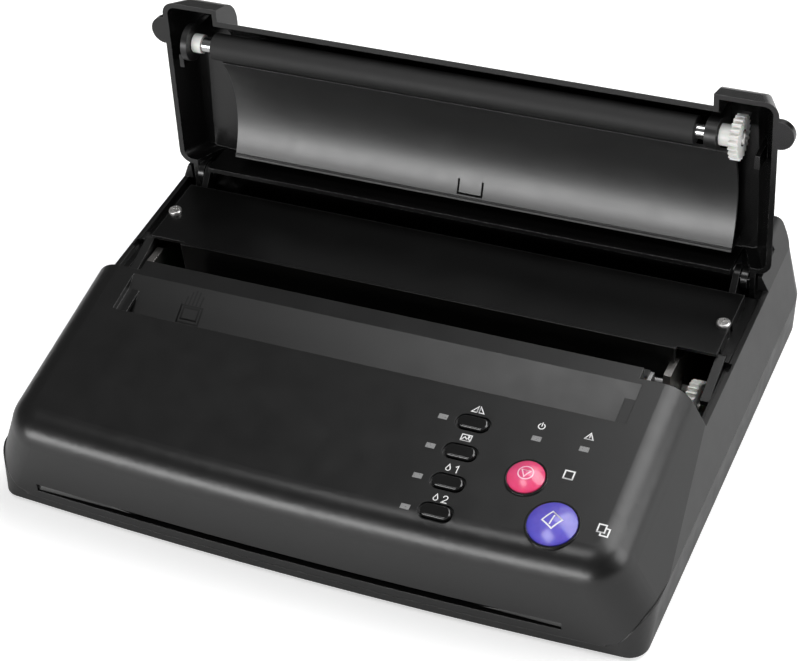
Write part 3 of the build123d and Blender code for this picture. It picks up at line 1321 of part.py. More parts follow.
# ---------------------------------------------------------------- lid forms, drawn shut
LID_WALL = 2.2
LID_RIM_Z = RAIL_Z + 0.4
LID_RIM_HALF_W = 139.6
LID_TOP_FRONT = (6.0, FLOOR_Z + 58.2)
LID_TOP_REAR_Z = HINGE_Z + LID_REAR_R
LID_FRONT_Y = -6.2          # front face of the lid between its corners, just over the rim
LID_CORNER_Y = -12.2        # and at its forward corners
LID_FRONT_Z = FLOOR_Z + 41.7
LID_FRONT_RISE = 57.0
LID_CORNER_RISE = 79.0       # the forward corners stand almost upright
LID_BROW_R = 12.0
LID_SIDE_R = 9.0
LID_CORNER_X = 112.5        # the forward corners begin here
LID_PLAN_R = 6.0
LID_WIDE_REAR_Y = 69.0      # behind this the lid fits between the cheeks
LID_REAR_HALF_W = 133.0
BELOW_RIM_Z = LID_RIM_Z - 12.0


def lid_profile(inset, front_y, rise_deg):
    """The lid's section along the machine, running on below the rim."""
    rise = math.tan(math.radians(rise_deg))
    fall = (LID_TOP_REAR_Z - LID_TOP_FRONT[1]) / (HINGE_Y - LID_TOP_FRONT[0])
    brow_y = (LID_TOP_FRONT[1] - LID_FRONT_Z + front_y * rise - LID_TOP_FRONT[0] * fall) / (rise - fall)
    brow_z = LID_FRONT_Z + (brow_y - front_y) * rise
    low_y = front_y - (LID_FRONT_Z - BELOW_RIM_Z) / rise
    half_turn = math.radians(25.0)
    turn = math.radians(-40.0)
    rear_end = (HINGE_Y + LID_REAR_R * math.cos(turn), HINGE_Z + LID_REAR_R * math.sin(turn))
    with BuildSketch() as section:
        with BuildLine():
            Polyline((low_y, BELOW_RIM_Z), (brow_y, brow_z), (HINGE_Y, LID_TOP_REAR_Z))
            ThreePointArc(
                (HINGE_Y, LID_TOP_REAR_Z),
                (HINGE_Y + LID_REAR_R * math.cos(half_turn), HINGE_Z + LID_REAR_R * math.sin(half_turn)),
                rear_end,
            )
            Polyline(rear_end, (rear_end[0], BELOW_RIM_Z), (low_y, BELOW_RIM_Z))
        make_face()
        fillet(section.vertices().sort_by(Axis.Y)[-1], LID_BROW_R)
        if inset:
            offset(amount=-inset, mode=Mode.REPLACE)
    return section.sketch


def lid_run(inset, front_y, rise_deg, x_from, x_to):
    """A length of the lid's section along X."""
    with BuildPart() as run:
        with BuildSketch(Plane.YZ.offset(x_from)):
            add(lid_profile(inset, front_y, rise_deg))
        extrude(amount=x_to - x_from)
    return run.part


def lid_sides(half_w, inset, y_from, y_to):
    """Leaning sides of the lid with rounded upper edges."""
    below = LID_RIM_Z - BELOW_RIM_Z
    side_w = half_w - inset / math.cos(math.radians(UPPER_LEAN)) + below * UPPER_SLOPE
    top_z = max(LID_TOP_FRONT[1], LID_TOP_REAR_Z) + 0.1 - inset
    return leaning_bar(side_w, BELOW_RIM_Z, top_z, y_from, y_to, LID_SIDE_R - inset)


def lid_plan(inset):
    """The wide part of the lid seen from above, round-cornered at every level."""
    rise = math.tan(math.radians(LID_CORNER_RISE))
    level_faces = []
    for z in (BELOW_RIM_Z - 1.0, LID_TOP_FRONT[1] + 1.0):
        half_w = LID_RIM_HALF_W - inset / math.cos(math.radians(UPPER_LEAN)) + (LID_RIM_Z - z) * UPPER_SLOPE
        front = LID_CORNER_Y + (z - LID_FRONT_Z) / rise + inset / math.sin(math.radians(LID_CORNER_RISE))
        rear = LID_WIDE_REAR_Y - inset
        with BuildSketch(Plane.XY.offset(z)) as level:
            with Locations((0, (front + rear) / 2)):
                Rectangle(2 * half_w, rear - front)
            fillet(level.vertices(), LID_PLAN_R - inset)
        level_faces.append(level.sketch.face())
    with BuildPart() as plan:
        loft(level_faces, ruled=True)
    return plan.part


def lid_form(inset):
    """The lid as a solid, shrunk by the inset, running on below its rim."""
    reach = SEAM_HALF_W
    body = lid_run(inset, LID_FRONT_Y, LID_FRONT_RISE, -LID_CORNER_X - 5, LID_CORNER_X + 5)
    body += both_sides(lid_run(inset, LID_CORNER_Y, LID_CORNER_RISE, LID_CORNER_X + inset, reach))
    wide = body & lid_plan(inset) & lid_sides(LID_RIM_HALF_W, inset, LID_CORNER_Y - 20, LID_WIDE_REAR_Y)
    narrow = lid_run(inset, LID_FRONT_Y, LID_FRONT_RISE, -reach, reach)
    narrow = narrow & lid_sides(LID_REAR_HALF_W, inset, LID_WIDE_REAR_Y - 20, 100.0)
    return wide + narrow


def opened(part):
    """A piece of the lid, drawn shut, turned to where it stands open."""
    return part.rotate(HINGE_AXIS, -LID_OPEN)


above_rim = box_between(WIDE, (-200, 200), (LID_RIM_Z, 200))
lid_solid = lid_form(0)
lid_room = lid_form(LID_WALL)

# ---------------------------------------------------------------- lid shell
EAR_R = 6.3
EAR_X = 139.8
EAR_Y = 1.8
EAR_T = 3.0
RIB_HALF_W = 123.2
RIB_Y = (67.2, 69.2)
RIB_FOOT_Z = FLOOR_Z + 36.3
LUG_X = (127.2, 130.0)
BRACKET_X = (123.7, 126.5)
HINGE_EYE_R = 5.0
HINGE_PIN_R = 2.0
lug_web = extruded_along_x([(68.8, 45.1), (68.8, 58.5), (80.0, 58.5), (78.8, 45.1)], *LUG_X) & lid_solid
rib = box_between((-RIB_HALF_W, RIB_HALF_W), RIB_Y, (RIB_FOOT_Z, HUMP_Z + 1))
rib = rib & lid_run(0, LID_FRONT_Y, LID_FRONT_RISE, -RIB_HALF_W, RIB_HALF_W)
rib_foot = box_between((-RIB_HALF_W, RIB_HALF_W), RIB_Y, (RIB_FOOT_Z, LID_RIM_Z + 1))
ears = both_sides(posts([(EAR_X, EAR_Y)], EAR_R, LID_RIM_Z, LID_RIM_Z + EAR_T)) - lid_solid
CATCH_X = (130.8, 132.8)
catch = extruded_along_x([(12.0, 41.0), (18.0, 41.0), (19.5, 60.0), (10.5, 60.0)], *CATCH_X)
catch_tips = catch & box_between(WIDE, (0, 30), (30, LID_RIM_Z + 1))
catches = both_sides((catch & lid_solid & above_rim) + catch_tips)
with BuildPart() as lid_shell:
    add(opened((lid_solid - lid_room) & above_rim))
    add(opened(ears + rib + rib_foot + catches))
    add(opened(both_sides(lug_web + x_cylinder(HINGE_EYE_R, *LUG_X, HINGE_Y, HINGE_Z))))
    add(
        both_sides(x_cylinder(HINGE_PIN_R + AXLE_GAP, LUG_X[0] - 1, LUG_X[1] + 0.7, HINGE_Y, HINGE_Z)),
        mode=Mode.SUBTRACT,
    )
lid_shell.part.label = "lid_shell"
export_step(lid_shell.part, "parts/lid_shell.step")

LINER_X = (-112.0, 121.5)
LINER_T = 1.6
LINER_FRONT = (13.5, FLOOR_Z + 40.6)
LINER_CROWN = (34.0, FLOOR_Z + 48.6)
LINER_REAR = (62.8, FLOOR_Z + 42.9)
LINER_WINDOW = ((-3.2, 8.8), (54.2, 60.6))
WINDOW_CUT = 0.8
with BuildPart() as liner_sheet:
    with BuildSketch(Plane.YZ.offset(LINER_X[0])) as arch:
        with BuildLine() as arch_line:
            ThreePointArc(LINER_FRONT, LINER_CROWN, LINER_REAR)
            offset(amount=LINER_T, side=Side.LEFT)
        make_face()
    extrude(amount=LINER_X[1] - LINER_X[0])
window_x, window_y = LINER_WINDOW
window_tab = box_between(
    (window_x[0] + WINDOW_CUT, window_x[1] - WINDOW_CUT), (window_y[0], window_y[1] - WINDOW_CUT), (30, 60)
)
with BuildPart() as lid_liner:
    gear_notch = box_between((GEAR_X[0] - 0.7, LINER_X[1] + 1), (0, SHUT_ROLLER[0] + 12.5), (30, 60))
    add(opened(liner_sheet.part - (box_between(window_x, window_y, (30, 60)) - window_tab) - gear_notch))
    liner_wall = box_between(LINER_X, (LINER_REAR[0] - LINER_T, LINER_REAR[0]), (LINER_REAR[1] + 0.3, 70))
    add(opened(liner_wall & lid_room))
lid_liner.part.label = "lid_liner"
export_step(lid_liner.part, "parts/lid_liner.step")

# ---------------------------------------------------------------- platen roller in the lid
PLATEN_R = 6.0
PLATEN_SHAFT_R = 3.5
RUBBER_X = (-114.4, 105.8)
BUSH_X = -120.3
SHAFT_X = (-126.4, GEAR_X[1])
HOLDER_LEFT_X = (-127.9, -125.0)
HOLDER_RIGHT_X = (110.5, 115.5)
HOLDER_LEFT_R = 8.2
BUSH_R = 4.2
HOLDER_RIGHT_R = 6.5
with BuildPart() as platen_roller:
    add(opened(x_tube(PLATEN_R, PLATEN_SHAFT_R, *RUBBER_X, SHUT_ROLLER)))
platen_roller.part.label = "platen_roller"
export_step(platen_roller.part, "parts/platen_roller.step")

GEAR_HUB_R = 4.5
GEAR_SCREW_R = 2.9
GEAR_SCREW_H = 1.2
GEAR_CROSS = (1.8, 0.35)    # half length and half width of the cross recess
SCREW_BORE_R = 1.2
SCREW_BORE_DEPTH = 9.0
with BuildPart() as platen_shaft:
    add(
        opened(
            x_cylinder(PLATEN_SHAFT_R, *SHAFT_X, *SHUT_ROLLER)
            - x_cylinder(SCREW_BORE_R, SHAFT_X[1] - SCREW_BORE_DEPTH, SHAFT_X[1], *SHUT_ROLLER)
        )
    )
platen_shaft.part.label = "platen_shaft"
export_step(platen_shaft.part, "parts/platen_shaft.step")

with BuildPart() as platen_bush:
    add(opened(x_tube(BUSH_R, PLATEN_SHAFT_R, HOLDER_LEFT_X[1] + MOVING_GAP, BUSH_X, SHUT_ROLLER)))
platen_bush.part.label = "platen_bush"
export_step(platen_bush.part, "parts/platen_bush.step")

with BuildPart() as platen_gear:
    platen_turn = mesh_turn(PLATEN_TEETH, DRIVE_TOWARDS, DRIVE_TEETH, PINION_TOWARDS)
    add(opened(x_gear(PLATEN_TEETH, platen_turn, *GEAR_X, SHUT_ROLLER, PLATEN_SHAFT_R)))
    add(opened(x_tube(GEAR_HUB_R, PLATEN_SHAFT_R, HOLDER_RIGHT_X[1] + 0.5, GEAR_X[0], SHUT_ROLLER)))
platen_gear.part.label = "platen_gear"
export_step(platen_gear.part, "parts/platen_gear.step")

with BuildPart() as screw_head:
    add(x_cylinder(GEAR_SCREW_R, GEAR_X[1], GEAR_X[1] + GEAR_SCREW_H, *SHUT_ROLLER))
    fillet(screw_head.edges().filter_by(GeomType.CIRCLE).sort_by(Axis.X)[-1], GEAR_SCREW_H / 2)

recess_x = (GEAR_X[1] + GEAR_SCREW_H / 3, GEAR_X[1] + GEAR_SCREW_H + 1)
with BuildPart() as gear_screw:
    slots = Part()
    for half_y, half_z in (GEAR_CROSS, GEAR_CROSS[::-1]):
        slots += box_between(
            recess_x,
            (SHUT_ROLLER[0] - half_y, SHUT_ROLLER[0] + half_y),
            (SHUT_ROLLER[1] - half_z, SHUT_ROLLER[1] + half_z),
        )
    shank = x_cylinder(SCREW_BORE_R, GEAR_X[1] - SCREW_BORE_DEPTH + 1, GEAR_X[1], *SHUT_ROLLER)
    add(opened(screw_head.part - slots + shank))
gear_screw.part.label = "gear_screw"
export_step(gear_screw.part, "parts/gear_screw.step")

below_rim = box_between(WIDE, (-200, 200), (0, LID_RIM_Z + 0.5))
with BuildPart() as roller_holder_left:
    stem = extruded_along_x([(-0.4, 42.8), (-0.4, 60.0), (11.6, 60.0), (11.6, 42.8)], *HOLDER_LEFT_X)
    disc = x_cylinder(HOLDER_LEFT_R, *HOLDER_LEFT_X, *SHUT_ROLLER)
    bore = x_cylinder(PLATEN_SHAFT_R + AXLE_GAP, HOLDER_LEFT_X[0], HOLDER_LEFT_X[1], *SHUT_ROLLER)
    add(opened(((stem + disc) & (lid_room + below_rim)) - bore))
roller_holder_left.part.label = "roller_holder_left"
export_step(roller_holder_left.part, "parts/roller_holder_left.step")

with BuildPart() as roller_holder_right:
    stem = extruded_along_x([(0.0, 42.8), (-1.0, 60.0), (12.0, 60.0), (11.2, 42.8)], *HOLDER_RIGHT_X)
    disc = x_cylinder(HOLDER_RIGHT_R, *HOLDER_RIGHT_X, *SHUT_ROLLER)
    bore = x_cylinder(PLATEN_SHAFT_R + AXLE_GAP, *HOLDER_RIGHT_X, *SHUT_ROLLER)
    add(opened(((stem + disc) & (lid_room + below_rim)) - bore))
roller_holder_right.part.label = "roller_holder_right"
export_step(roller_holder_right.part, "parts/roller_holder_right.step")

# ---------------------------------------------------------------- hinge and latch levers
with BuildPart() as hinge_brackets:
    arm = extruded_along_x(
        [
            (SHELF_FRONT_Y, SHELF_Z),
            (SHELF_FRONT_Y, SHELF_Z + 3.0),
            (HINGE_Y - 3.0, HINGE_Z + 3.9),
            (HINGE_Y + 3.0, HINGE_Z - 3.9),
            (SHELF_FRONT_Y + 8.0, SHELF_Z),
        ],
        *BRACKET_X,
    )
    foot_plate = box_between(
        (BRACKET_X[0] - 8.0, BRACKET_X[0]), (SHELF_FRONT_Y, SHELF_FRONT_Y + 8.0), (SHELF_Z, SHELF_Z + 1.6)
    )
    add(both_sides(arm + foot_plate + x_cylinder(HINGE_EYE_R, *BRACKET_X, HINGE_Y, HINGE_Z)))
    add(both_sides(x_cylinder(HINGE_PIN_R, *BRACKET_X, HINGE_Y, HINGE_Z)), mode=Mode.SUBTRACT)
hinge_brackets.part.label = "hinge_brackets"
export_step(hinge_brackets.part, "parts/hinge_brackets.step")

with BuildPart() as hinge_pins:
    add(both_sides(x_cylinder(HINGE_PIN_R, BRACKET_X[0] - 0.3, LUG_X[1] + 0.3, HINGE_Y, HINGE_Z)))
hinge_pins.part.label = "hinge_pins"
export_step(hinge_pins.part, "parts/hinge_pins.step")

LEVER_X = (130.4, LEDGE_NARROW_X - MOVING_GAP)
lever_arm = extruded_along_x([(5.0, 34.6), (5.0, 37.0), (27.0, 42.5), (27.5, 38.7)], *LEVER_X)
lever = (
    lever_arm
    + x_cylinder(2.0, *LEVER_X, LEVER_PIVOT_Y, LEVER_PIVOT_Z)
    + x_cylinder(LEVER_PIN_R, LEVER_X[1], LEDGE_NARROW_X + 1.6, LEVER_PIVOT_Y, LEVER_PIVOT_Z)
)
with BuildPart() as latch_lever_right:
    add(lever)
latch_lever_right.part.label = "latch_lever_right"
export_step(latch_lever_right.part, "parts/latch_lever_right.step")

with BuildPart() as latch_lever_left:
    add(lever.mirror(Plane.YZ))
latch_lever_left.part.label = "latch_lever_left"
export_step(latch_lever_left.part, "parts/latch_lever_left.step")
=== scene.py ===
import json
import math

import bmesh
import bpy
from mathutils import Matrix, Vector
from mathutils.bvhtree import BVHTree


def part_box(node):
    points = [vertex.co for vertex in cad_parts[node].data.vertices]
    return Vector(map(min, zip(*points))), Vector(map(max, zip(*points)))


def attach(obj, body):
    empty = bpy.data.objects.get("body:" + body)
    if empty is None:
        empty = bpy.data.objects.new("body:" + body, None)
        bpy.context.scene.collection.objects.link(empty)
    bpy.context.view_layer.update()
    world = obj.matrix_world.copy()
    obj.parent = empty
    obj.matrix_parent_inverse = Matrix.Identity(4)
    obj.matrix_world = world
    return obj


# Looks of the thermal stencil copier: finishes for the CAD nodes, printed marks, floor, light and camera.
# Lengths are metres in the CAD frame unless a name says mm.

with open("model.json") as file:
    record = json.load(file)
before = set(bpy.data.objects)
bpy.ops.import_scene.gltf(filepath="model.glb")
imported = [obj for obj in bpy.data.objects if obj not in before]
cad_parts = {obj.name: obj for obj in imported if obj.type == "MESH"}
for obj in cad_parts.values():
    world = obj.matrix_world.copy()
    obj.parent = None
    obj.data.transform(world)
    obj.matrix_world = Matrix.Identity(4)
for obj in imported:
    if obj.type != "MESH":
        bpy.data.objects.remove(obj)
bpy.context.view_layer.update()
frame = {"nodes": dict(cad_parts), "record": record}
nodes = frame["nodes"]
MM = 0.001

# ---------------------------------------------------------------- camera, as the photograph was taken
CAMERA_AZIMUTH = 28.78
CAMERA_ELEVATION = 41.22
CAMERA_ROLL = -7.55
CAMERA_PLACE = Vector((0.3375, -0.6131, 0.6566))
CAMERA_LENS = 100.2
SENSOR_WIDTH = 36.0
CAMERA_SHIFT = (0.0027, 0.0006)


def make_camera():
    """The photograph's camera, from its angles and its place."""
    azimuth = math.radians(CAMERA_AZIMUTH)
    elevation = math.radians(CAMERA_ELEVATION)
    back = Vector((
        math.sin(azimuth) * math.cos(elevation),
        -math.cos(azimuth) * math.cos(elevation),
        math.sin(elevation),
    ))
    level_right = Vector((math.cos(azimuth), math.sin(azimuth), 0.0))
    level_up = back.cross(level_right)
    roll = Matrix.Rotation(math.radians(CAMERA_ROLL), 3, back)
    right = roll @ level_right
    up = roll @ level_up
    data = bpy.data.cameras.new("camera")
    data.lens = CAMERA_LENS
    data.sensor_width = SENSOR_WIDTH
    data.shift_x, data.shift_y = CAMERA_SHIFT
    data.clip_start = 0.05
    data.clip_end = 50.0
    camera = bpy.data.objects.new("camera", data)
    turned = Matrix((right, up, back)).transposed()
    camera.matrix_world = Matrix.Translation(CAMERA_PLACE) @ turned.to_4x4()
    bpy.context.scene.collection.objects.link(camera)
    bpy.context.scene.camera = camera


# ---------------------------------------------------------------- finishes
class Finish:
    """A Principled material, with the helpers that its graph is built from."""

    def __init__(self, name, **sockets):
        self.material = bpy.data.materials.new(name)
        self.material.use_nodes = True
        self.tree = self.material.node_tree
        self.tree.nodes.clear()
        out = self.node("OutputMaterial")
        self.shader = self.node("BsdfPrincipled")
        self.tree.links.new(self.shader.outputs["BSDF"], out.inputs["Surface"])
        for key, value in sockets.items():
            self.shader.inputs[key.replace("_", " ")].default_value = value
        self.place = self.node("TexCoord").outputs["Object"]

    def node(self, kind, inputs=None, **settings):
        made = self.tree.nodes.new("ShaderNode" + kind)
        for key, value in settings.items():
            setattr(made, key, value)
        for key, value in (inputs or {}).items():
            self.feed(made.inputs[key], value)
        return made

    def feed(self, socket, value):
        if isinstance(value, bpy.types.NodeSocket):
            self.tree.links.new(value, socket)
        else:
            socket.default_value = value

    def noise(self, size_mm, stretch=(1, 1, 1), detail=3.0, roughness=0.5):
        """Soft noise whose spots are about this size; stretch makes them longer along an axis."""
        scaled = self.node("Mapping", {"Vector": self.place, "Scale": [1 / s for s in stretch]})
        return self.node("TexNoise", {
            "Vector": scaled.outputs["Vector"], "Scale": 1 / (size_mm * MM),
            "Detail": detail, "Roughness": roughness,
        }).outputs["Fac"]

    def between(self, fac, low, high, start=0.0, end=1.0):
        """fac from low to high turned into start to end."""
        return self.node("MapRange", {
            "Value": fac, "From Min": low, "From Max": high, "To Min": start, "To Max": end,
        }).outputs["Result"]

    def times(self, a, b):
        return self.node("Math", {0: a, 1: b}, operation="MULTIPLY", use_clamp=True).outputs[0]

    def mix(self, fac, a, b):
        return self.node("Mix", {0: fac, 6: a, 7: b}, data_type="RGBA").outputs[2]

    def rounded(self, radius_mm):
        """The normal of an edge that is rounded by this radius."""
        return self.node("Bevel", {"Radius": radius_mm * MM}, samples=4).outputs["Normal"]

    def edges(self, radius_mm, low=0.01, high=0.12):
        """1 on sharp edges, 0 on open faces."""
        flat = self.node("NewGeometry").outputs["Normal"]
        match = self.node("VectorMath", {0: self.rounded(radius_mm), 1: flat}, operation="DOT_PRODUCT")
        return self.between(match.outputs["Value"], 1 - low, 1 - high)

    def bump(self, height, depth_mm, normal=None):
        inputs = {"Height": height, "Distance": depth_mm * MM, "Strength": 1.0}
        if normal:
            inputs["Normal"] = normal
        return self.node("Bump", inputs).outputs["Normal"]

    def set(self, **sockets):
        for key, value in sockets.items():
            self.feed(self.shader.inputs[key.replace("_", " ")], value)
        return self.material


def grey(value, warmth=0.0):
    return (value * (1 + warmth), value, value * (1 - warmth), 1.0)


CLOUD_MM = 38.0             # broad unevenness of moulded plastic
SMUDGE_MM = 11.0            # where hands have touched it
EDGE_RUB_AND_HIGHLIGHT_MM = 2.5                # patches along an edge that is rubbed and partly painted with a highlight


def moulded(name, colour, other, edge_wear_and_highlight, rough, grain_mm, grain_depth_mm, edge_mm=0.35, **sockets):
    """Moulded plastic: slight cloudiness, a fine spark-eroded grain, smudges, and paler edges, partly
    rubbed wear and partly a painted highlight (the keys' bright edge line).
    """
    finish = Finish(name, **sockets)
    cloud = finish.noise(CLOUD_MM, detail=4.0)
    smudge = finish.noise(SMUDGE_MM, detail=5.0, roughness=0.6)
    grain = finish.noise(grain_mm, detail=2.0)
    # paler edges: rubbed wear, and on the keys a painted highlight line
    edge_wear_and_highlight_mask = finish.times(finish.edges(edge_mm), finish.between(finish.noise(EDGE_RUB_AND_HIGHLIGHT_MM), 0.4, 0.7))
    base = finish.mix(finish.between(cloud, 0.35, 0.65), colour, other)
    roughness = finish.between(smudge, 0.3, 0.7, rough[0], rough[1])
    return finish.set(
        Base_Color=finish.mix(edge_wear_and_highlight_mask, base, edge_wear_and_highlight),
        Roughness=roughness,
        Normal=finish.bump(grain, grain_depth_mm, finish.rounded(edge_mm)),
    )


def case_plastic():
    return moulded(
        "case_plastic", grey(0.004), grey(0.0052), grey(0.04), (0.31, 0.36), 0.35, 0.005,
        Specular_IOR_Level=0.6,
    )


def base_plastic():
    return moulded("base_plastic", grey(0.006), grey(0.009), grey(0.05), (0.36, 0.46), 0.3, 0.010)


def lid_plastic():
    return moulded(
        "lid_plastic", grey(0.003), grey(0.0045), grey(0.14), (0.22, 0.26), 0.35, 0.004,
        Specular_IOR_Level=0.6,
    )


def liner_plastic():
    return moulded(
        "liner_plastic", grey(0.017), grey(0.021), grey(0.06), (0.34, 0.39), 0.4, 0.012,
        Specular_IOR_Level=0.9,
    )


def holder_plastic():
    return moulded("holder_plastic", grey(0.009), grey(0.012), grey(0.05), (0.33, 0.42), 0.3, 0.008)


def key_plastic():
    # the pale edge grey here is a painted highlight: a bright line along the keys' edges
    return moulded(
        "key_plastic", grey(0.004), grey(0.006), grey(0.22), (0.1, 0.16), 0.4, 0.002, edge_mm=0.45,
        Coat_Weight=0.8, Coat_Roughness=0.06,
    )


def guide_plastic():
    return moulded("guide_plastic", grey(0.008), grey(0.011), grey(0.05), (0.24, 0.34), 0.3, 0.008)


def sensor_plastic():
    return moulded("sensor_plastic", grey(0.012), grey(0.018), grey(0.06), (0.45, 0.55), 0.3, 0.01)


def flag_plastic():
    return moulded("flag_plastic", grey(0.02), grey(0.028), grey(0.07), (0.38, 0.48), 0.3, 0.01)


def socket_plastic():
    return moulded("socket_plastic", grey(0.01), grey(0.014), grey(0.06), (0.3, 0.4), 0.3, 0.01)


def rocker_plastic():
    return moulded("rocker_plastic", grey(0.01), grey(0.013), grey(0.05), (0.2, 0.3), 0.3, 0.006)


def head_cover_plastic():
    return moulded("head_cover_plastic", grey(0.014), grey(0.02), grey(0.06), (0.4, 0.5), 0.3, 0.01)


def chip_plastic():
    return moulded("chip_plastic", grey(0.02), grey(0.03), grey(0.08), (0.45, 0.6), 0.25, 0.01)


def ring_plastic():
    return moulded(
        "ring_plastic", grey(0.008), grey(0.012), grey(0.05), (0.1, 0.16), 0.4, 0.002,
        Coat_Weight=0.5, Coat_Roughness=0.06,
    )


def gear_white():
    return moulded(
        "gear_white", (0.80, 0.80, 0.78, 1), (0.74, 0.74, 0.71, 1), (0.85, 0.85, 0.84, 1),
        (0.32, 0.42), 0.5, 0.008, edge_mm=0.2, Subsurface_Weight=0.12, Subsurface_Scale=0.002,
    )


def rubber(name, colour, other, rough):
    """Ground rubber: fine pits, and faint grinding lines round the roller."""
    finish = Finish(name)
    pits = finish.noise(0.3, detail=3.0)
    lines = finish.noise(0.5, stretch=(0.35, 60, 60), detail=2.0)
    dust = finish.noise(7.0, detail=6.0, roughness=0.7)
    base = finish.mix(finish.between(dust, 0.35, 0.7), colour, other)
    pitted = finish.bump(pits, 0.02)
    return finish.set(
        Base_Color=finish.mix(finish.between(pits, 0.55, 0.8, 0, 0.4), base, other),
        Roughness=finish.between(dust, 0.3, 0.7, rough[0], rough[1]),
        Normal=finish.bump(lines, 0.015, pitted),
    )


def roller_rubber():
    return rubber("roller_rubber", grey(0.008), grey(0.013), (0.62, 0.72))


def rubber_foot():
    return rubber("rubber_foot", grey(0.02), grey(0.03), (0.75, 0.9))


def metal(name, colour, other, rough, brush, brush_depth_mm, edge_mm=0.3, **sockets):
    """Metal with fine lines drawn along one way, stains and bright edges."""
    finish = Finish(name, Metallic=1.0, **sockets)
    lines = finish.noise(0.25, stretch=brush, detail=3.0)
    stain = finish.noise(9.0, detail=5.0, roughness=0.65)
    base = finish.mix(finish.between(stain, 0.35, 0.7), colour, other)
    bright = [min(1.0, c * 1.25) for c in colour[:3]] + [1.0]
    return finish.set(
        Base_Color=finish.mix(finish.edges(edge_mm), base, bright),
        Roughness=finish.between(finish.times(lines, stain), 0.1, 0.5, rough[0], rough[1]),
        Normal=finish.bump(lines, brush_depth_mm, finish.rounded(edge_mm)),
    )


def screw_steel():
    return metal("screw_steel", grey(0.8, 0.01), grey(0.66, 0.02), (0.34, 0.46), (3, 3, 1), 0.002, 0.15)


def shaft_steel():
    return metal("shaft_steel", grey(0.68), grey(0.55), (0.12, 0.24), (0.3, 30, 30), 0.002, 0.2)


def frame_steel():
    return metal("frame_steel", grey(0.5, 0.03), grey(0.38, 0.05), (0.28, 0.45), (1, 25, 1), 0.004)


def spring_steel():
    return metal("spring_steel", grey(0.4), grey(0.3), (0.25, 0.35), (4, 4, 4), 0.002, 0.1)


def motor_can():
    return metal("motor_can", grey(0.42), grey(0.33), (0.3, 0.42), (30, 1, 1), 0.004)


def sink_alu():
    return metal("sink_alu", grey(0.62), grey(0.5), (0.35, 0.5), (40, 1, 1), 0.006)


def brass_pin():
    return metal("brass_pin", (0.72, 0.52, 0.22, 1), (0.55, 0.38, 0.15, 1), (0.2, 0.35), (1, 1, 20), 0.002)


def deck_paint():
    """Black powder coat on sheet steel, orange-peeled; its edges are painted pale grey in patches, partly
    wear and partly a painted highlight along the front lip.
    """
    finish = Finish("deck_paint", Specular_IOR_Level=0.35)
    peel = finish.noise(0.9, detail=2.0)
    cloud = finish.noise(30.0, detail=4.0)
    wear_and_highlight_patches = finish.between(finish.noise(1.6, detail=5.0, roughness=0.7), 0.3, 0.6, 0.4, 1.0)
    # painted highlight: the edges, the front lip among them, are painted pale grey in patches
    edge_wear_and_highlight_mask = finish.times(finish.edges(0.5, low=0.02, high=0.2), wear_and_highlight_patches)
    base = finish.mix(finish.between(cloud, 0.35, 0.65), grey(0.0025), grey(0.004))
    return finish.set(
        Base_Color=finish.mix(edge_wear_and_highlight_mask, base, grey(0.12)),
        Roughness=finish.between(cloud, 0.3, 0.7, 0.28, 0.34),
        Normal=finish.bump(peel, 0.012, finish.rounded(0.4)),
    )


def head_ceramic():
    """Dark glazed ceramic of the print head, with its fine line of heater dots."""
    finish = Finish("head_ceramic", Coat_Weight=0.6, Coat_Roughness=0.04)
    dots = finish.node("TexWave", {"Vector": finish.place, "Scale": 1200.0}, bands_direction="X")
    speck = finish.noise(1.2)
    glaze = (0.02, 0.016, 0.012, 1)
    dot = (0.11, 0.08, 0.05, 1)
    base = finish.mix(finish.between(dots.outputs["Fac"], 0.6, 0.9), glaze, dot)
    return finish.set(
        Base_Color=base,
        Roughness=finish.between(speck, 0.3, 0.7, 0.12, 0.22),
        Normal=finish.bump(speck, 0.003, finish.rounded(0.2)),
    )


def sensor_glass():
    """The scanner's glass, faintly green, with a little dust."""
    finish = Finish("sensor_glass", Transmission_Weight=0.9, IOR=1.5)
    dust = finish.noise(2.5, detail=6.0, roughness=0.75)
    return finish.set(
        Base_Color=finish.mix(finish.between(dust, 0.5, 0.8), (0.72, 0.84, 0.80, 1), (0.5, 0.52, 0.5, 1)),
        Roughness=finish.between(dust, 0.45, 0.8, 0.03, 0.3),
        Normal=finish.rounded(0.2),
    )


def lamp_plastic():
    """Smoked indicator window with the moulder's fine prisms under it."""
    finish = Finish("lamp_plastic", Transmission_Weight=0.25, Coat_Weight=0.3, Coat_Roughness=0.08)
    prisms = finish.node("TexWave", {"Vector": finish.place, "Scale": 900.0}, bands_direction="DIAGONAL")
    speck = finish.noise(0.8)
    return finish.set(
        Base_Color=finish.mix(prisms.outputs["Fac"], grey(0.24), grey(0.38)),
        Roughness=finish.between(speck, 0.3, 0.7, 0.25, 0.38),
        Normal=finish.bump(prisms.outputs["Fac"], 0.01, finish.rounded(0.25)),
    )


def board_green():
    """Solder mask over copper tracks, with bright pads."""
    finish = Finish("board_green", Coat_Weight=0.3, Coat_Roughness=0.2)
    cells = finish.node(
        "TexVoronoi", {"Vector": finish.place, "Scale": 260.0}, distance="MANHATTAN", feature="F1"
    )
    tracks = finish.between(cells.outputs["Distance"], 0.42, 0.46)
    pads = finish.between(cells.outputs["Distance"], 0.13, 0.1)
    mask = finish.mix(tracks, (0.012, 0.085, 0.03, 1), (0.02, 0.14, 0.05, 1))
    return finish.set(
        Base_Color=finish.mix(pads, mask, (0.55, 0.53, 0.48, 1)),
        Metallic=pads,
        Roughness=finish.between(finish.noise(4.0), 0.3, 0.7, 0.35, 0.5),
        Normal=finish.bump(tracks, 0.03),
    )


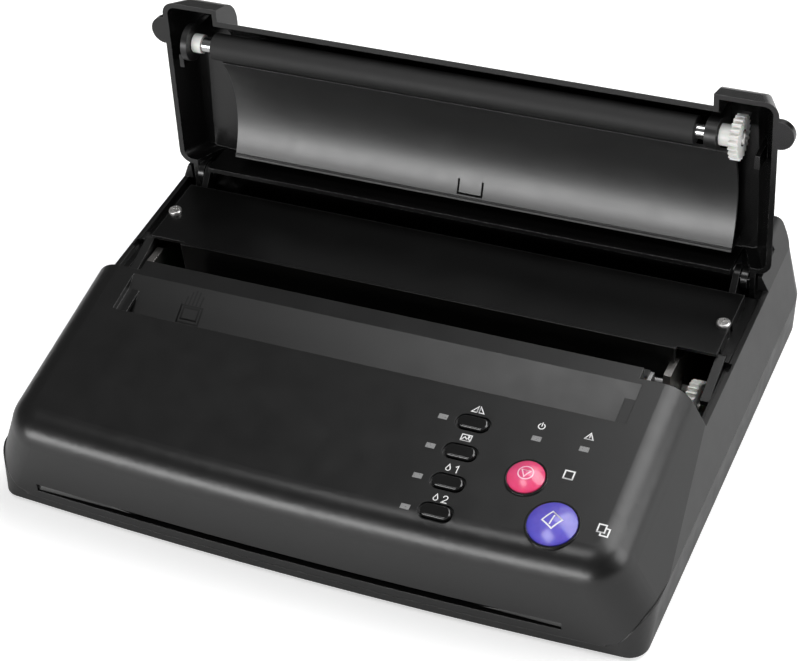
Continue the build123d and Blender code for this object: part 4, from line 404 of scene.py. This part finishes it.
def transformer_core():
    """Yellow tape round the winding and dark laminated iron."""
    finish = Finish("transformer_core")
    sheets = finish.node("TexWave", {"Vector": finish.place, "Scale": 600.0}, bands_direction="Y")
    stain = finish.noise(6.0, detail=4.0)
    iron = finish.mix(sheets.outputs["Fac"], grey(0.05, 0.05), grey(0.09, 0.08))
    return finish.set(
        Base_Color=finish.mix(finish.between(stain, 0.5, 0.7), iron, (0.3, 0.2, 0.04, 1)),
        Roughness=finish.between(stain, 0.3, 0.7, 0.45, 0.65),
        Normal=finish.bump(sheets.outputs["Fac"], 0.05),
    )


def button_resin(name, node_name, highlit_centre_colour, rim_colour, deep_tint_and_shade_colour):
    """Tinted clear resin with painted light: the crown is painted paler as a highlight and the sides
    darker as shade; random clouds darken it too.
    """
    finish = Finish(
        name, Subsurface_Weight=0.35, Subsurface_Scale=0.002, Coat_Weight=0.5, Coat_Roughness=0.22,
        Transmission_Weight=0.05,
    )
    low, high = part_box(node_name)
    middle = (low + high) / 2
    radius = (high.x - low.x) / 2
    from_middle = finish.node("VectorMath", {0: finish.place, 1: middle}, operation="DISTANCE")
    # painted highlight: the colour pales towards the middle of the crown
    out = finish.between(from_middle.outputs["Value"], 0.45 * radius, 0.95 * radius)
    # painted shade: the colour darkens towards the rim
    painted_rim_shade = finish.between(from_middle.outputs["Value"], 0.9 * radius, 1.1 * radius)
    cloud = finish.noise(3.0, detail=3.0)
    painted_crown_highlight = finish.mix(out, highlit_centre_colour, rim_colour)
    shade = finish.mix(finish.between(cloud, 0.3, 0.8, 0.0, 0.25), painted_crown_highlight, deep_tint_and_shade_colour)
    return finish.set(
        # painted shade down the sides, over the painted crown highlight
        Base_Color=finish.mix(painted_rim_shade, shade, deep_tint_and_shade_colour),
        Roughness=finish.between(cloud, 0.3, 0.7, 0.14, 0.22),
        Normal=finish.bump(cloud, 0.01, finish.rounded(0.4)),
    )


def stop_pink():
    # colours: painted highlight on the crown, the rim, then painted shade down the sides
    return button_resin(
        "stop_pink", "stop_button", (0.85, 0.12, 0.27, 1), (0.80, 0.07, 0.2, 1), (0.55, 0.015, 0.09, 1)
    )


def copy_violet():
    # colours: painted highlight on the crown, the rim, then painted shade down the sides
    return button_resin(
        "copy_violet", "copy_button", (0.17, 0.14, 0.62, 1), (0.11, 0.09, 0.55, 1), (0.02, 0.012, 0.28, 1)
    )


def ink(name, colour, thin, rough):
    """Screen-printed ink, thin in places."""
    finish = Finish(name)
    patch = finish.noise(0.5, detail=3.0)
    return finish.set(
        Base_Color=finish.mix(finish.between(patch, 0.55, 0.8), colour, thin),
        Roughness=finish.between(patch, 0.3, 0.7, rough, rough + 0.1),
        Normal=finish.bump(patch, 0.004),
    )


FINISH_MAKERS = (
    case_plastic, base_plastic, rubber_foot, screw_steel, deck_paint, frame_steel, sink_alu, head_ceramic,
    head_cover_plastic, spring_steel, guide_plastic, sensor_plastic, sensor_glass, roller_rubber,
    shaft_steel, gear_white, motor_can, flag_plastic, key_plastic, stop_pink, copy_violet, ring_plastic,
    lamp_plastic, board_green, chip_plastic, transformer_core, socket_plastic, brass_pin, rocker_plastic,
    lid_plastic, liner_plastic, holder_plastic,
)


def finish_nodes():
    """Every CAD node gets the finish of its slot in the record."""
    finishes = {maker.__name__: maker() for maker in FINISH_MAKERS}
    for part in frame["record"]["subparts"]:
        obj = nodes[part["node"]]
        obj.data.materials.clear()
        obj.data.materials.append(finishes[part["material_slot"]])


# ---------------------------------------------------------------- printed marks
PANEL_SLOPE = math.radians(8.85)
SLOT_REAR = (-16.0, 59.8)   # y and z in mm of the document slot's rear edge
PANEL_ORIGIN = Vector((0.0, SLOT_REAR[0] * MM, SLOT_REAR[1] * MM))
PANEL_UP = Vector((0.0, math.cos(PANEL_SLOPE), math.sin(PANEL_SLOPE)))
PANEL_NORMAL = Vector((0.0, -math.sin(PANEL_SLOPE), math.cos(PANEL_SLOPE)))
ACROSS = Vector((1.0, 0.0, 0.0))
STEP = 0.4                  # mm between the points of a printed stroke
INK_LIFT = 0.02             # mm of ink over the surface
RAY_LEAD = 12               # mm over the mark's plane at which a ray towards the surface starts
RAY_REACH = 0.03


def arc(centre, radius, start=0.0, end=360.0):
    """Points of an arc, in degrees from +X."""
    count = max(8, int(abs(end - start) / 15))
    angles = [math.radians(start + (end - start) * i / count) for i in range(count + 1)]
    return [(centre[0] + radius * math.cos(a), centre[1] + radius * math.sin(a)) for a in angles]


def closed(points):
    return list(points) + [points[0], points[1]]


def placed(strokes, at, scale=1.0):
    return [[(at[0] + scale * x, at[1] + scale * y) for x, y in stroke] for stroke in strokes]


DIGIT_STROKES = {
    "1": [[(-0.25, 0.3), (0.0, 0.5), (0.0, -0.5)]],
    "2": [arc((0.0, 0.22), 0.28, 170, -40) + [(-0.3, -0.5), (0.32, -0.5)]],
}
MIRROR_STROKES = [
    closed([(-0.15, -0.5), (-0.15, 0.5), (-0.9, -0.5)]),
    closed([(0.15, -0.5), (0.15, 0.5), (0.9, -0.5)]),
]
PICTURE_STROKES = [
    closed([(-0.7, -0.5), (0.7, -0.5), (0.7, 0.5), (-0.7, 0.5)]),
    [(-0.6, -0.35), (-0.2, 0.15), (0.1, -0.2), (0.3, 0.0), (0.6, -0.35)],
    arc((0.35, 0.22), 0.1),
]
DROP_STROKES = [arc((0.0, -0.18), 0.3, 150, 390) + [(0.0, 0.55), (-0.26, -0.03)]]
POWER_STROKES = [arc((0.0, 0.0), 0.45, 125, 415), [(0.0, 0.6), (0.0, 0.05)]]
WARNING_STROKES = [
    closed([(-0.6, -0.45), (0.6, -0.45), (0.0, 0.6)]),
    [(0.0, 0.22), (0.0, -0.1)],
    [(0.0, -0.26), (0.0, -0.32)],
]
HALT_STROKES = [closed([(-0.4, -0.4), (0.4, -0.4), (0.4, 0.4), (-0.4, 0.4)])]
SHEETS_STROKES = [
    closed([(-0.5, -0.15), (0.15, -0.15), (0.15, 0.6), (-0.5, 0.6)]),
    [(0.15, 0.3), (0.5, 0.3), (0.5, -0.45), (-0.15, -0.45), (-0.15, -0.15)],
]
STOP_STROKES = [arc((0.0, 0.0), 0.5), closed([(-0.3, 0.17), (0.3, 0.17), (0.0, -0.34)])]
START_TURN = math.radians(14)
START_R = 0.52
START_ANGLES = [START_TURN + i * math.pi / 2 for i in range(4)]
START_CORNERS = [(START_R * math.cos(a), START_R * math.sin(a)) for a in START_ANGLES]
START_STROKES = [closed(START_CORNERS), [(-0.04, -0.27), (0.04, 0.27)]]
FEED_STROKES = [
    closed([(-0.42, -0.55), (0.42, -0.55), (0.42, 0.0), (-0.42, 0.0)]),
    closed([(-0.58, 0.1), (-0.58, -0.72), (0.58, -0.72), (0.58, 0.1)]),
]
FINGERS = ((-0.42, 0.5), (-0.22, 0.75), (-0.02, 0.85), (0.18, 0.8), (0.4, 0.6))     # x and top of each
FEED_STROKES += [[(x, 0.2), (x + 0.04, top)] for x, top in FINGERS]


def fine(stroke, size):
    """The stroke with points no further apart than the step, so that it can follow a dome."""
    points = [Vector(stroke[0])]
    for start, end in zip(stroke, stroke[1:]):
        start, end = Vector(start), Vector(end)
        count = max(1, math.ceil((end - start).length * size / STEP))
        points += [start.lerp(end, (i + 1) / count) for i in range(count)]
    return [p * size for p in points]


def ribbon(mesh, stroke, size, width, to_place):
    """Lays a stroke down as a strip of faces with mitred corners."""
    points = fine(stroke, size)
    is_loop = (points[0] - points[-2]).length < 1e-6 or (points[0] - points[-1]).length < 1e-6
    rails = []
    for i, point in enumerate(points):
        before = points[i - 1] if i else point
        after = points[i + 1] if i + 1 < len(points) else point
        into = (point - before).normalized() if i else (after - point).normalized()
        out = (after - point).normalized() if i + 1 < len(points) else into
        along = (into + out).normalized()
        side = Vector((-along.y, along.x))
        mitre = 1.0 / max(0.45, abs(side.dot(Vector((-into.y, into.x)))))
        reach = side * (width / 2) * mitre
        end_cap = along * (width / 2) * (0 if is_loop else (i + 1 == len(points)) - (i == 0))
        rails.append([mesh.verts.new(to_place(point + end_cap + s * reach)) for s in (-1, 0, 1)])
    for first, second in zip(rails, rails[1:]):
        for k in (0, 1):
            mesh.faces.new((first[k], second[k], second[k + 1], first[k + 1]))


def surface_tree(*names):
    """The CAD surfaces that marks are printed on, for finding where a line meets them."""
    points, faces = [], []
    for name in names:
        data = nodes[name].data
        offset = len(points)
        points += [v.co.copy() for v in data.vertices]
        faces += [[offset + i for i in p.vertices] for p in data.polygons]
    return BVHTree.FromPolygons(points, faces)


def printer(tree, origin, across, up, normal, at):
    """A function from mm on a mark's own plane to the place on the surface under it."""
    centre = origin + across * (at[0] * MM) + up * (at[1] * MM)

    def to_place(point):
        start = centre + across * (point.x * MM) + up * (point.y * MM) + normal * (RAY_LEAD * MM)
        hit = tree.ray_cast(start, -normal, RAY_REACH)[0]
        if hit is None:
            hit = start - normal * (RAY_LEAD * MM)
        return hit + normal * (INK_LIFT * MM)

    return to_place


def mark(name, body, material, strokes, size, width, to_place, slot):
    """A printed mark that rides on a body."""
    mesh = bmesh.new()
    for stroke in strokes:
        ribbon(mesh, stroke, size, width, to_place)
    bmesh.ops.recalc_face_normals(mesh, faces=mesh.faces)
    data = bpy.data.meshes.new(name)
    mesh.to_mesh(data)
    mesh.free()
    data.materials.append(material)
    obj = bpy.data.objects.new(name, data)
    bpy.context.scene.collection.objects.link(obj)
    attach(obj, body)
    return obj


def panel_at(x, y):
    """Place on the panel's plane, in mm along and up it, of the point over x, y."""
    return (x, (y - SLOT_REAR[0]) / math.cos(PANEL_SLOPE))


def drop_with(digit):
    """An ink drop with a number beside it."""
    return placed(DROP_STROKES, (-0.7, 0)) + placed(DIGIT_STROKES[digit], (0.6, 0), 1.1)


LABEL_H = 2.9
LABEL_W = 0.42
LABELS = {
    "mark_mirror": (MIRROR_STROKES, (56.6, -44.6)),
    "mark_picture": (PICTURE_STROKES, (56.8, -58.7)),
    "mark_light": (drop_with("1"), (57.4, -73.7)),
    "mark_dark": (drop_with("2"), (58.0, -88.0)),
    "mark_power": (POWER_STROKES, (83.3, -45.6)),
    "mark_warning": (WARNING_STROKES, (103.0, -45.3)),
}
SIDE_LABELS = {
    "mark_halt": (HALT_STROKES, (101.4, -64.4)),
    "mark_sheets": (SHEETS_STROKES, (122.4, -84.9)),
}
SIDE_LABEL_H = 4.6
SIDE_LABEL_W = 0.6


def button_middle(name):
    low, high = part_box(name)
    middle = (low + high) / 2
    return panel_at(middle.x / MM, middle.y / MM)


STOP_MARK = (6.0, 0.5)      # height and stroke width in mm
START_MARK = (7.4, 0.6)
FEED_MARK = (8.6, 0.75)
FEED_PLACE = (-82.6, -25.0)


def on_panel(tree, at):
    """Prints onto a surface along the control panel's normal."""
    return printer(tree, PANEL_ORIGIN, ACROSS, PANEL_UP, PANEL_NORMAL, at)


def make_marks():
    """Icons beside the keys and lamps, on the two round buttons and on the slot's ramp."""
    white = ink("ink_white", grey(0.78), grey(0.55), 0.45)
    pink = ink("ink_pink", (0.9, 0.55, 0.65, 1), (0.8, 0.35, 0.5, 1), 0.3)
    relief = ink("ink_relief", grey(0.0015), grey(0.003), 0.75)
    case = surface_tree("upper_case")
    for labels, height, width in ((LABELS, LABEL_H, LABEL_W), (SIDE_LABELS, SIDE_LABEL_H, SIDE_LABEL_W)):
        for name, (strokes, place) in labels.items():
            to_place = on_panel(case, panel_at(*place))
            mark(name, "case", white, strokes, height, width, to_place, "case_plastic")
    stop_place = on_panel(surface_tree("stop_button"), button_middle("stop_button"))
    mark("mark_stop", "stop", pink, STOP_STROKES, *STOP_MARK, stop_place, "stop_pink")
    copy_place = on_panel(surface_tree("copy_button"), button_middle("copy_button"))
    mark("mark_start", "copy", white, START_STROKES, *START_MARK, copy_place, "copy_violet")
    ramp_place = on_panel(case, panel_at(*FEED_PLACE))
    mark("mark_feed", "case", relief, FEED_STROKES, *FEED_MARK, ramp_place, "case_plastic")


# ---------------------------------------------------------------- floor, light and background
LAMPS = {
    # name: (place, aimed at, width, height, watts)
    "overhead": ((0.5, 0.62, 1.4), (0.05, 0.0, 0.05), 1.5, 0.9, 18.0),
    "above": ((-0.25, -0.35, 1.5), (0.0, 0.0, 0.08), 0.6, 0.4, 4.0),
    "front": ((-0.5, -1.6, 0.3), (0.0, 0.0, 0.05), 1.8, 0.5, 24.0),
    "right": ((1.5, 0.3, 0.7), (0.0, 0.0, 0.05), 0.9, 1.1, 13.0),
    "back": ((0.1, 1.5, 1.1), (0.0, 0.0, 0.08), 0.9, 0.5, 1.5),
}
WORLD_LEVEL = 0.1


def make_lamps():
    for name, (place, aim, width, height, watts) in LAMPS.items():
        data = bpy.data.lights.new(name, "AREA")
        data.shape = "RECTANGLE"
        data.size, data.size_y = width, height
        data.energy = watts
        lamp = bpy.data.objects.new(name, data)
        lamp.location = place
        lamp.rotation_euler = (Vector(aim) - Vector(place)).to_track_quat("-Z", "Y").to_euler()
        bpy.context.scene.collection.objects.link(lamp)


def make_world():
    """Even light that the camera sees as white."""
    world = bpy.data.worlds.new("studio")
    bpy.context.scene.world = world
    world.use_nodes = True
    tree = world.node_tree
    tree.nodes.clear()
    out = tree.nodes.new("ShaderNodeOutputWorld")
    background = tree.nodes.new("ShaderNodeBackground")
    background.inputs["Color"].default_value = grey(1.0)
    level = tree.nodes.new("ShaderNodeMapRange")
    level.inputs["To Min"].default_value = WORLD_LEVEL
    level.inputs["To Max"].default_value = 1.0
    path = tree.nodes.new("ShaderNodeLightPath")
    tree.links.new(path.outputs["Is Camera Ray"], level.inputs["Value"])
    tree.links.new(level.outputs["Result"], background.inputs["Strength"])
    tree.links.new(background.outputs["Background"], out.inputs["Surface"])


FLOOR_HALF = 6.0
FLOOR_FADE = (0.3, 1.2)     # distances from the middle over which the glow rises
FLOOR_GLOW = (0.5, 1.0)


def make_floor():
    """A plain pale floor that keeps the object's shadow and is white to the camera further out."""
    mesh = bmesh.new()
    bmesh.ops.create_grid(mesh, x_segments=1, y_segments=1, size=FLOOR_HALF)
    data = bpy.data.meshes.new("floor")
    mesh.to_mesh(data)
    mesh.free()
    finish = Finish("floor_paper", Roughness=0.9, Specular_IOR_Level=0.1)
    mottle = finish.noise(60.0, detail=3.0)
    material = finish.set(Base_Color=finish.mix(mottle, grey(0.80), grey(0.82)))
    path = finish.node("LightPath")
    finish.shader.inputs["Emission Color"].default_value = grey(1.0)
    reach = finish.node("VectorMath", {0: finish.place}, operation="LENGTH").outputs["Value"]
    lift = finish.between(reach, *FLOOR_FADE, *FLOOR_GLOW)
    finish.set(Emission_Strength=finish.times(path.outputs["Is Camera Ray"], lift))
    data.materials.append(material)
    floor = bpy.data.objects.new("floor", data)
    bpy.context.scene.collection.objects.link(floor)


bpy.context.scene.view_settings.view_transform = "Standard"
make_camera()
make_world()
make_lamps()
make_floor()
finish_nodes()
make_marks()
